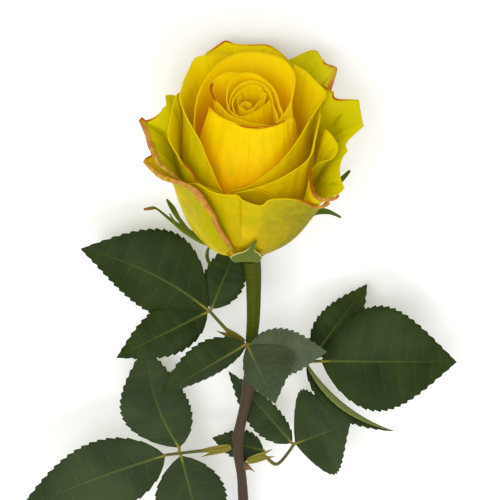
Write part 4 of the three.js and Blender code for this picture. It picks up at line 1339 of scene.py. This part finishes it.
@dataclass(frozen=True)
class Prickle:
    """A prickle, which is broad along the stem and hooks down to a point; its lengths are in millimetres.

    Attributes:
        height: where it stands on the stem, in the upright drawing.
        turn: degrees round the stem, from the front towards the right.
        length: how far it stands out.
        root: how deep it is set in the stem.
        lift: how far its root's middle lies over its height.
        hook: how far its point drops.
        base: what its root adds to half its length along the stem and half its width across it.
        point: those two halves at its point.
        rings: points along it.
        sides: points round it.
    """

    height: float
    turn: float
    length: float
    root: float = 0.7
    lift: float = 0.25
    hook: float = 1.9
    base: tuple[float, float] = (2.6, 1.0)
    point: tuple[float, float] = (0.10, 0.09)
    rings: int = 14
    sides: int = 18

    def build(self, name: str, foot: np.ndarray, radius: float) -> bpy.types.Object:
        """Make the prickle.

        Args:
            name: the piece's name.
            foot: the middle of the stem at its height.
            radius: the stem's radius there.

        Returns:
            The piece.
        """
        outwards = around_axis(np.array(self.turn), np.array(1.0), np.array(0.0))
        upwards = np.array([0.0, 0.0, 1.0])
        share = np.linspace(0.0, 1.0, self.rings)
        out = radius - self.root + (self.length + self.root) * share
        drop = self.lift - self.hook * share**2.2
        line = foot + out[:, None] * outwards + drop[:, None] * upwards
        fall = (1.0 - share) ** 1.35
        half_length = self.point[0] + self.base[0] * fall**1.4
        half_width = self.point[1] + self.base[1] * fall
        radii = np.stack([half_length, half_width], axis=1)
        first_side = unit(REST.lay(upwards) - REST.lay(np.zeros(3)))
        return MeshMaker.tube(name, REST.lay(line), radii, self.sides, tuple(first_side))


@dataclass(frozen=True)
class Stem:
    """The cut stem with its prickles.

    Attributes:
        path: rows of x, y, z and radius in the upright drawing, from the flower down.
        prickles: the prickles, from the flower down.
        cut_at: a place in the upright drawing that the cut goes through.
        slant: how far the cut end leans from a square cut, in degrees.
        slant_side: how far that lean is to the side and how far up, as shares.
        cut_rings: how far in each ring of the cut face ends, as a share.
        least_height: how high the stem stays over the ground, in millimetres.
        rings: points along the stem.
        sides: points round the stem.
    """

    path: tuple[tuple[float, float, float, float], ...] = (
        (1.7, 0.3, -1.3, 2.9), (2.1, 0.6, -5, 2.8), (2.4, 0.9, -12, 2.5), (2.3, 0.6, -24, 2.2),
        (1.7, 0.2, -33, 1.95), (1.6, 0, -42, 2), (1, 0, -48, 2.15), (-0.3, 0, -57, 1.85),
        (-1.9, 0, -65, 1.75), (-2.9, 0, -71, 1.95), (-2.6, 0, -78, 1.7), (-1.6, 0, -86, 1.6),
        (-1.1, 0, -95, 1.75), (-0.2, 0, -112, 1.8), (1, 0, -135, 1.9), (1.9, 0, -160, 1.95),
        (2, 0, -185, 2.05), (1.4, 0, -212, 2.15), (0.4, 0, -240, 2.25), (0.3, 0, -244, 2.25))
    prickles: tuple[Prickle, ...] = (
        Prickle(-48, 75, 3.2), Prickle(-82, 80, 3.4), Prickle(-108, -95, 4.0), Prickle(-140, 60, 4.2),
        Prickle(-172, -70, 4.4), Prickle(-205, 100, 4.0))
    cut_at: tuple[float, float, float] = (0.4, 0, -240)
    slant: float = 40.0
    slant_side: tuple[float, float] = (0.6, 0.8)
    cut_rings: tuple[float, ...] = (0.12, 0.5, 0.85)
    least_height: float = 0.05
    rings: int = 171
    sides: int = 36

    def build(
        self, bark: bpy.types.Material, horn: bpy.types.Material, cut: bpy.types.Material
    ) -> list[bpy.types.Object]:
        """Make the stem, its cut face and its prickles, and dress them.

        Args:
            bark: the stem's material.
            horn: the prickles' material.
            cut: the cut face's material.

        Returns:
            The pieces.
        """
        rows = np.array(self.path, dtype=float)
        line = smooth_through(rows, np.linspace(0.0, len(rows) - 1, self.rings))
        radii = np.repeat(line[:, 3:], 2, axis=1)
        cane = MeshMaker.tube("stem_cane", REST.lay(line[:, :3]), radii, self.sides, (1, 0, 0))
        pieces = [dressed(cane, "stem", "cane", bark, cut)]
        self._slant_end(cane.data)
        for number, prickle in enumerate(self.prickles, start=1):
            *foot, radius = [np.interp(-prickle.height, -rows[:, 2], column) for column in rows.T]
            piece = prickle.build(f"prickle_{number}", np.array(foot), radius)
            pieces.append(dressed(piece, "stem", "cane", horn))
        return pieces

    def _slant_end(self, mesh: bpy.types.Mesh) -> None:
        """Cut the cane's far end on a slant, close it with rings of faces, and keep it off the ground.

        Args:
            mesh: the cane's mesh, whose second material is the cut face's.
        """
        lean = math.radians(self.slant)
        aside, upwards = self.slant_side
        plane = (aside * math.sin(lean), math.cos(lean), upwards * math.sin(lean))
        place = REST.lay(np.array(self.cut_at, dtype=float))
        work = bmesh.new()
        work.from_mesh(mesh)
        whole = [*work.verts, *work.edges, *work.faces]
        bmesh.ops.bisect_plane(work, geom=whole, plane_co=place, plane_no=plane, clear_inner=True)
        rim = [edge for edge in work.edges if edge.is_boundary]
        middle = sum((vert.co for edge in rim for vert in edge.verts), Vector()) / (2 * len(rim))
        inward = work.verts.layers.float.new("inward")
        cut_faces = []
        before = 0.0
        for share in self.cut_rings:
            grown = bmesh.ops.extrude_edge_only(work, edges=rim)["geom"]
            for vert in (item for item in grown if isinstance(item, bmesh.types.BMVert)):
                vert.co = middle.lerp(vert.co, (1.0 - share) / (1.0 - before))
                vert[inward] = share
            cut_faces += [item for item in grown if isinstance(item, bmesh.types.BMFace)]
            rim = [item for item in grown if isinstance(item, bmesh.types.BMEdge) and item.is_boundary]
            before = share
        cut_faces += bmesh.ops.contextual_create(work, geom=rim)["faces"]
        for face in cut_faces:
            face.material_index = 1
            face.smooth = False
        for vert in work.verts:
            vert.co.z = max(vert.co.z, self.least_height * MM)
        bmesh.ops.recalc_face_normals(work, faces=work.faces[:])
        work.to_mesh(mesh)
        work.free()


@dataclass(frozen=True)
class Leaflet:
    """One toothed leaflet, placed as the viewer sees it.

    Attributes:
        name: the piece's name.
        base: where its midrib starts: right, up the picture and towards the viewer.
        tip: where its midrib ends.
        left: half width on the midrib's left, looking towards the tip.
        right: half width on its right.
        lift_left: how far the left half rises towards the viewer, in degrees.
        lift_right: how far the right half does.
        arch: how far the midrib bows towards the viewer.
        bend: how far the midrib bows to its left.
        cup: how far the margins curl away from the viewer.
        teeth: how many teeth each margin has.
        film: how much pale painted sheen its upper face has, from 0 to 1.
        fullness: how wide its outline is for its half widths.
        bite: how deep the notches between its teeth are.
        notch: where in each tooth its notch lies, from 0 at its point to 1 at the next one's.
        sweep: how far its sides are drawn towards the tip, as a share of their reach.
    """

    name: str
    base: tuple[float, float, float]
    tip: tuple[float, float, float]
    left: float
    right: float
    lift_left: float = 12.0
    lift_right: float = 12.0
    arch: float = 2.0
    bend: float = 0.0
    cup: float = 1.5
    teeth: int = 15
    film: float = 0.0
    fullness: float = 2.6
    bite: float = 0.7
    notch: float = 0.2
    sweep: float = 0.38

    def midrib(self, s: np.ndarray) -> np.ndarray:
        """Follow the midrib as the viewer sees it.

        Args:
            s: places from 0 at its base to 1 at its tip.

        Returns:
            Rows of points.
        """
        base, tip = np.array(self.base), np.array(self.tip)
        run = tip - base
        _, near, aside = axes_along(run)
        bow = 4.0 * s * (1.0 - s)
        return base + s[:, None] * run + bow[:, None] * (self.arch * near + self.bend * aside)

    def blade(self, half_columns: int, tooth_rows: tuple[float, ...], seed: float) -> Blade:
        """Work out the leaflet's middle surface in the upright drawing, in millimetres.

        Args:
            half_columns: columns from the midrib to each margin.
            tooth_rows: places of the rows within each tooth, from 0 at one tooth's point to 1 at the next.
            seed: what makes its pattern its own.

        Returns:
            The blade.
        """
        ahead, near, aside = axes_along(np.array(self.tip) - np.array(self.base))
        places = [(tooth, place) for tooth in range(self.teeth) for place in tooth_rows]
        places.append((self.teeth, 0.0))
        s = np.array([(tooth + place) / self.teeth for tooth, place in places])
        phase = np.array([place for _, place in places])
        deep = np.where(phase < self.notch, phase / self.notch, (1.0 - phase) / (1.0 - self.notch))[:, None]
        rib = self.midrib(s)[:, None, :]
        s = s[:, None]
        outline = self.fullness * np.sqrt(s) * (1.0 - s)
        u = np.linspace(-1.0, 1.0, 2 * half_columns + 1)
        off_rib = np.abs(u)
        wide = np.where(u > 0, self.left, self.right)
        lift = np.radians(np.where(u > 0, self.lift_left, self.lift_right))
        full = off_rib * wide * outline
        reach = np.maximum(full - self.bite * deep * off_rib**6 * np.minimum(outline * 3.0, 1.0), 0.0)
        sideways = np.sign(u) * reach * np.cos(lift)
        rise = reach * np.sin(lift) - self.cup * u**2 * (reach / np.maximum(wide, 1.0)) ** 1.5
        forward = self.sweep * reach * (1.0 - s)
        points = rib + sideways[..., None] * aside + rise[..., None] * near + forward[..., None] * ahead
        return Blade.with_facts(
            from_viewer(points),
            along=s,
            across=u,
            edge=np.maximum(wide * outline - reach, 0.0),
            rib=np.sign(u) * reach,
            seed=seed,
            film=self.film,
        )


@dataclass(frozen=True)
class Spray:
    """One compound leaf: its stalk and its leaflets.

    Attributes:
        name: the leaf's name, which its solid shares.
        stalk: points of the stalk from the stem outwards, placed as the viewer sees them.
        leaflets: its leaflets.
        stipules: how far the two wings at the stalk's foot reach along it, in millimetres.
    """

    name: str
    stalk: tuple[tuple[float, float, float], ...]
    leaflets: tuple[Leaflet, ...]
    stipules: float = 8.0


SPRAYS = (
    Spray("leaf_upper_left", (
        (-0.9, -28.5, -16.5), (-4.4, -26.5, -15), (-8, -22.9, -13.3), (-12.2, -18.2, -12)), (
            Leaflet("leaflet_upper_left_end", (-12.5, -18, -12), (-54.7, 2.3, -9), 13.3, 16.2, -28, 8,
                    arch=2.5, bend=-2.8, teeth=17),
            Leaflet("leaflet_upper_left_low", (-12.8, -18.6, -12.5), (-43, -33.8, -16), 8.3, 9, 15, -8,
                    arch=2, teeth=12),
            Leaflet("leaflet_upper_left_high", (-11.6, -17.6, -12.5), (-1.5, 7, -13), 7, 7.5, 10, 10,
                    arch=1.5, teeth=11))),
    Spray("leaf_front", (
        (2.2, -41.7, -20.3), (1.4, -37, -14.5), (0.6, -32.5, -9.5), (0.3, -29.4, -8)), (
            Leaflet("leaflet_front_left", (0, -29, -8), (-29.3, -46.2, -11), 8, 8.5, -62, 12,
                    arch=2, teeth=12),
            Leaflet("leaflet_front_right", (1, -29.4, -8), (26.6, -31.6, -7), 6.8, 9.5, -12, 5,
                    arch=3, cup=3, teeth=12, film=0.7),
            Leaflet("leaflet_front_end", (0.3, -29.4, -7.5), (9.5, -48.4, 3), 12.5, 6.5, 5, -35,
                    arch=2.5, teeth=11, film=0.35),
            Leaflet("leaflet_front_high", (1, -29.2, -9), (16, -27.8, -13), 4, 4, 10, 10,
                    arch=1.5, teeth=8)), stipules=6),
    Spray("leaf_right", (
        (4.3, -37.2, -21.4), (9.2, -36.2, -21.5), (17.4, -35.2, -21), (24.6, -35, -20)), (
            Leaflet("leaflet_right_end", (24.8, -35, -20), (69.7, -35.2, -17), 19, 16.8, 8, 8,
                    arch=3, teeth=17),
            Leaflet("leaflet_right_high", (22.2, -33.5, -22.5), (40.2, -9.4, -24), 7, 8, 10, 10,
                    arch=1.5, teeth=12),
            Leaflet("leaflet_right_low", (20, -36.2, -22.5), (49.2, -58.4, -24), 5, 5.5, 112, 20,
                    arch=2, bend=-3, teeth=14))),
    Spray("leaf_lower_right", (
        (0.2, -69.2, -40), (5.6, -67.4, -39.6), (10.4, -70, -38.6), (16, -63.4, -37.4)), (
            Leaflet("leaflet_lower_right_end", (16.3, -63.1, -37.2), (34.8, -55.6, -26), 16.5, 14.5, 6, 6,
                    arch=2.5, teeth=13, film=0.12),
            Leaflet("leaflet_lower_right_long", (15.2, -62.9, -37.7), (-6.1, -38.6, -34), 7, 4.5, 12, 12,
                    arch=1.5, teeth=13, film=0.12),
            Leaflet("leaflet_lower_right_small", (5.8, -65.6, -43), (-11.6, -61.4, -43.6), 5.5, 5.5, 8, 8,
                    arch=1, teeth=9, film=0.12)), stipules=7),
    Spray("leaf_lower_left", (
        (-5.2, -64.2, -36.9), (-10.2, -65.2, -36.3), (-16.4, -65.6, -35.6), (-27, -66.8, -34.6)), (
            Leaflet("leaflet_lower_left_end", (-27.2, -66.9, -34.4), (-77, -86, -40), 12.5, 12.5, 5, 10,
                    arch=3, bend=-1, teeth=17, film=0.12),
            Leaflet("leaflet_lower_left_high", (-22.5, -64.4, -34.9), (-33.9, -29.4, -32), 13, 10.5, 6, 10,
                    arch=2.5, bend=2.5, teeth=15, film=0.12),
            Leaflet("leaflet_lower_left_low", (-22, -67, -35.4), (-13.3, -100.5, -46.5), 12, 13, 8, 8,
                    arch=2.5, teeth=15, film=0.12))),
)


@dataclass(frozen=True)
class CompoundLeaf:
    """One compound leaf made of its stalk, its stipules and its toothed leaflets.

    Attributes:
        spray: where its parts lie.
        thickness: a leaflet's thickness, in millimetres.
        half_columns: columns from a leaflet's midrib to each margin.
        tooth_rows: places of the rows within each tooth.
        stalk_radius: half the stalk's usual thickness.
        stalk_taper: how much of it the stalk has at its foot, and how much it loses by its end.
        stalk_rings: points along the stalk and along each midrib.
        stalk_sides: points round them.
        midrib_radius: half a midrib's thickness: where it joins the stalk, where the leaflet starts, and
            how much of that it loses by its end.
        midrib_reach: how far along its leaflet a midrib runs, as a share.
        midrib_depth: how far its middle lies under the blade.
        stipule_thickness: the wings' thickness.
        stipule_half_width: half the width of the two wings together.
        stipule_grid: rows and columns of the wings' points.
    """

    spray: Spray
    thickness: float = 0.3
    half_columns: int = 12
    tooth_rows: tuple[float, ...] = (0.0, 0.2, 0.5, 0.75)
    stalk_radius: float = 0.8
    stalk_taper: tuple[float, float] = (1.25, 0.65)
    stalk_rings: int = 40
    stalk_sides: int = 14
    midrib_radius: tuple[float, float, float] = (0.55, 0.52, 0.42)
    midrib_reach: float = 0.9
    midrib_depth: float = 0.35
    stipule_thickness: float = 0.4
    stipule_half_width: float = 1.7
    stipule_grid: tuple[int, int] = (25, 17)

    def build(
        self, leaf: bpy.types.Material, stalk: bpy.types.Material, wing: bpy.types.Material, seed: int
    ) -> list[bpy.types.Object]:
        """Make the leaf's pieces and dress them.

        Args:
            leaf: the leaflets' material.
            stalk: the stalk's material.
            wing: the stipules' material.
            seed: what makes this leaf's pattern its own.

        Returns:
            The pieces.
        """
        name = self.spray.name
        places = np.linspace(0.0, len(self.spray.stalk) - 1, self.stalk_rings)
        stalk_line = smooth_through(np.array(self.spray.stalk), places)
        wide, loss = self.stalk_taper
        thick = self.stalk_radius * (wide - loss * np.sqrt(np.linspace(0.0, 1.0, self.stalk_rings)))
        pieces = [dressed(self._tube(f"{name}_stalk", stalk_line, thick), name, "leaf", stalk)]
        wings = MeshMaker.sheet(f"{name}_stipules", self._stipules(), self.stipule_thickness)
        pieces.append(dressed(wings, name, "leaf", wing))
        for number, leaflet in enumerate(self.spray.leaflets):
            blade = leaflet.blade(self.half_columns, self.tooth_rows, seed * PATTERN_STEP + number)
            blade.points = REST.lay(blade.points)
            sheet = MeshMaker.sheet(leaflet.name, blade, self.thickness)
            pieces.append(dressed(sheet, name, "leaf", leaf))
            pieces.append(dressed(self._midrib(leaflet, stalk_line), name, "leaf", stalk))
        return pieces

    def _tube(self, name: str, line: np.ndarray, radii: np.ndarray) -> bpy.types.Object:
        """Make a round shoot.

        Args:
            name: the piece's name.
            line: rows of places as the viewer sees them.
            radii: its radius at each of them.

        Returns:
            The piece.
        """
        both = np.stack([radii, radii], axis=1)
        return MeshMaker.tube(name, REST.lay(from_viewer(line)), both, self.stalk_sides, (0.3, 0.3, 1))

    def _midrib(self, leaflet: Leaflet, stalk_line: np.ndarray) -> bpy.types.Object:
        """Make a leaflet's own stalk, which runs on under its blade as the raised midrib.

        Args:
            leaflet: the leaflet.
            stalk_line: the leaf's stalk, where the leaflet's own stalk starts.

        Returns:
            The piece.
        """
        base = np.array(leaflet.base)
        foot = stalk_line[np.argmin(np.linalg.norm(stalk_line - base, axis=1))]
        s = np.linspace(0.0, self.midrib_reach, self.stalk_rings)
        # It reaches its depth a fourteenth of the way along.
        depth = self.midrib_depth * np.minimum(s * 14, 1.0)
        under = leaflet.midrib(s) - np.array([0.0, 0.0, 1.0]) * depth[:, None]
        joint, start, loss = self.midrib_radius
        radii = np.concatenate([[joint], start - loss * s / self.midrib_reach])
        return self._tube(f"{leaflet.name}_midrib", np.concatenate([[foot], under]), radii)

    def _stipules(self) -> Blade:
        """Work out the two wings along the stalk's foot, whose free points spread at their outer ends.

        Returns:
            The wings' middle surface, in metres.
        """
        start, next_point = np.array(self.spray.stalk[0]), np.array(self.spray.stalk[1])
        ahead, near, aside = axes_along(next_point - start)
        rows, columns = self.stipule_grid
        s = np.linspace(0.0, 1.0, rows)[:, None]
        u = np.linspace(-1.0, 1.0, columns)[None, :]
        # The wings widen to the middle of their length, and their outer corners are drawn out.
        half_width = self.stipule_half_width * (0.6 + 0.9 * s - 0.95 * s**2)
        point = s**4 * np.abs(u) ** 3
        onwards = 0.6 + s * self.spray.stipules * (0.75 + 0.25 * np.abs(u)) + 2.0 * point
        sideways = u * (half_width + 0.3 * point)
        rise = 0.5 * np.abs(u)
        points = start + onwards[..., None] * ahead + sideways[..., None] * aside + rise[..., None] * near
        return Blade.with_facts(REST.lay(from_viewer(points)), along=onwards, around=u)


@dataclass(frozen=True)
class Lamp:
    """A square soft light.

    Attributes:
        name: its name.
        place: where it hangs, in metres.
        size: its side, in metres.
        power: its power, in watts.
    """

    name: str
    place: tuple[float, float, float]
    size: float
    power: float


@dataclass(frozen=True)
class Studio:
    """A pale floor under soft light, with the camera where the photograph was taken from.

    Attributes:
        width_mm: how much of the rose the picture's width takes in.
        aim: what the picture's middle shows: right of the flower's base and up the stem, in millimetres.
        distance: how far away the camera stands, in metres.
        sensor: the width of the camera's sensor, in millimetres.
        sight: how far the camera sees, in metres.
        lamps: the lights.
        lit: the place that they face, in metres.
        sky: how strong the white light from all round is.
        reach: how far the floor reaches to each side, in metres.
        floor_white: how much light the floor reflects.
        floor_glow: how strongly it glows.
    """

    width_mm: float = 163.8
    aim: tuple[float, float] = (1.2, 1.9)
    distance: float = 1.5
    sensor: float = 36.0
    sight: float = 20.0
    lamps: tuple[Lamp, ...] = (
        Lamp("key", (-0.3, 0.35, 1.1), 0.7, 5.0),
        Lamp("fill", (0.1, -0.5, 1.15), 0.6, 3.5),
    )
    lit: tuple[float, float, float] = (0.0, 0.09, 0.03)
    sky: float = 0.68
    reach: float = 4.0
    floor_white: float = 0.93
    floor_glow: float = 0.16

    def build(self) -> None:
        """Make the floor, the lights and the camera."""
        self._floor()
        for lamp in self.lamps:
            self._light(lamp)
        world = bpy.data.worlds.new("studio")
        world.use_nodes = True
        world.node_tree.nodes["Background"].inputs["Color"].default_value = WHITE
        world.node_tree.nodes["Background"].inputs["Strength"].default_value = self.sky
        bpy.context.scene.world = world
        bpy.context.scene.view_settings.view_transform = "Standard"
        self._camera()

    def _floor(self) -> None:
        """Lay a wide pale floor under the rose."""
        mesh = bpy.data.meshes.new("floor")
        corners = [(x * self.reach, y * self.reach, 0.0) for x, y in ((-1, -1), (1, -1), (1, 1), (-1, 1))]
        mesh.from_pydata(corners, [], [(0, 1, 2, 3)])
        grey = (self.floor_white, self.floor_white, self.floor_white, 1.0)
        finish = Finish(
            "floor", Roughness=0.9, Specular_IOR_Level=0.2, Base_Color=grey, Emission_Color=WHITE,
            Emission_Strength=self.floor_glow,
        )
        mesh.materials.append(finish.material)
        floor = bpy.data.objects.new("floor", mesh)
        bpy.context.scene.collection.objects.link(floor)

    def _light(self, lamp: Lamp) -> None:
        """Hang a light that faces the flower.

        Args:
            lamp: which light.
        """
        data = bpy.data.lights.new(lamp.name, "AREA")
        data.size = lamp.size
        data.energy = lamp.power
        light = bpy.data.objects.new(lamp.name, data)
        light.location = Vector(lamp.place)
        towards = Vector(self.lit) - light.location
        light.rotation_euler = towards.to_track_quat("-Z", "Y").to_euler()
        bpy.context.scene.collection.objects.link(light)

    def _camera(self) -> None:
        """Set the camera that looks down on the rose as the photograph does."""
        tilt = math.radians(VIEW_DOWN - REST.slope)
        right = Vector((1.0, 0.0, 0.0))
        up = Vector((0.0, math.cos(tilt), -math.sin(tilt)))
        back = Vector((0.0, math.sin(tilt), math.cos(tilt)))
        flower = Vector(REST.lay(np.zeros(3)))
        middle = flower + right * (self.aim[0] * MM) + up * (self.aim[1] * MM)
        lens = bpy.data.cameras.new("camera")
        lens.sensor_width = self.sensor
        lens.lens = self.sensor * self.distance / (self.width_mm * MM)
        lens.clip_end = self.sight
        camera = bpy.data.objects.new("camera", lens)
        turn = Matrix((right, up, back)).transposed().to_4x4()
        camera.matrix_world = Matrix.Translation(middle + back * self.distance) @ turn
        bpy.context.scene.collection.objects.link(camera)
        bpy.context.scene.camera = camera


def main() -> None:
    """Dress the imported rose, and set it in the studio."""
    logging.basicConfig(level=logging.INFO, format="%(name)s: %(message)s")
    leaf = LeafFinish().material()
    stalk = ShootFinish(Ripeness.STALK).material()
    wing = ShootFinish(Ripeness.STIPULE).material()
    pieces = Bloom().build(PetalFinish().material())
    pieces += Calyx().build(SepalFinish().material())
    bark = ShootFinish(Ripeness.STEM).material()
    horn = ShootFinish(Ripeness.PRICKLE).material()
    pieces += Stem().build(bark, horn, CutFinish().material())
    for seed, spray in enumerate(SPRAYS):
        pieces += CompoundLeaf(spray).build(leaf, stalk, wing, seed)
    for piece in pieces:
        LOG.info("%s: %d faces", piece.name, len(piece.data.polygons))
    Studio().build()


if __name__ == "__main__":
    main()
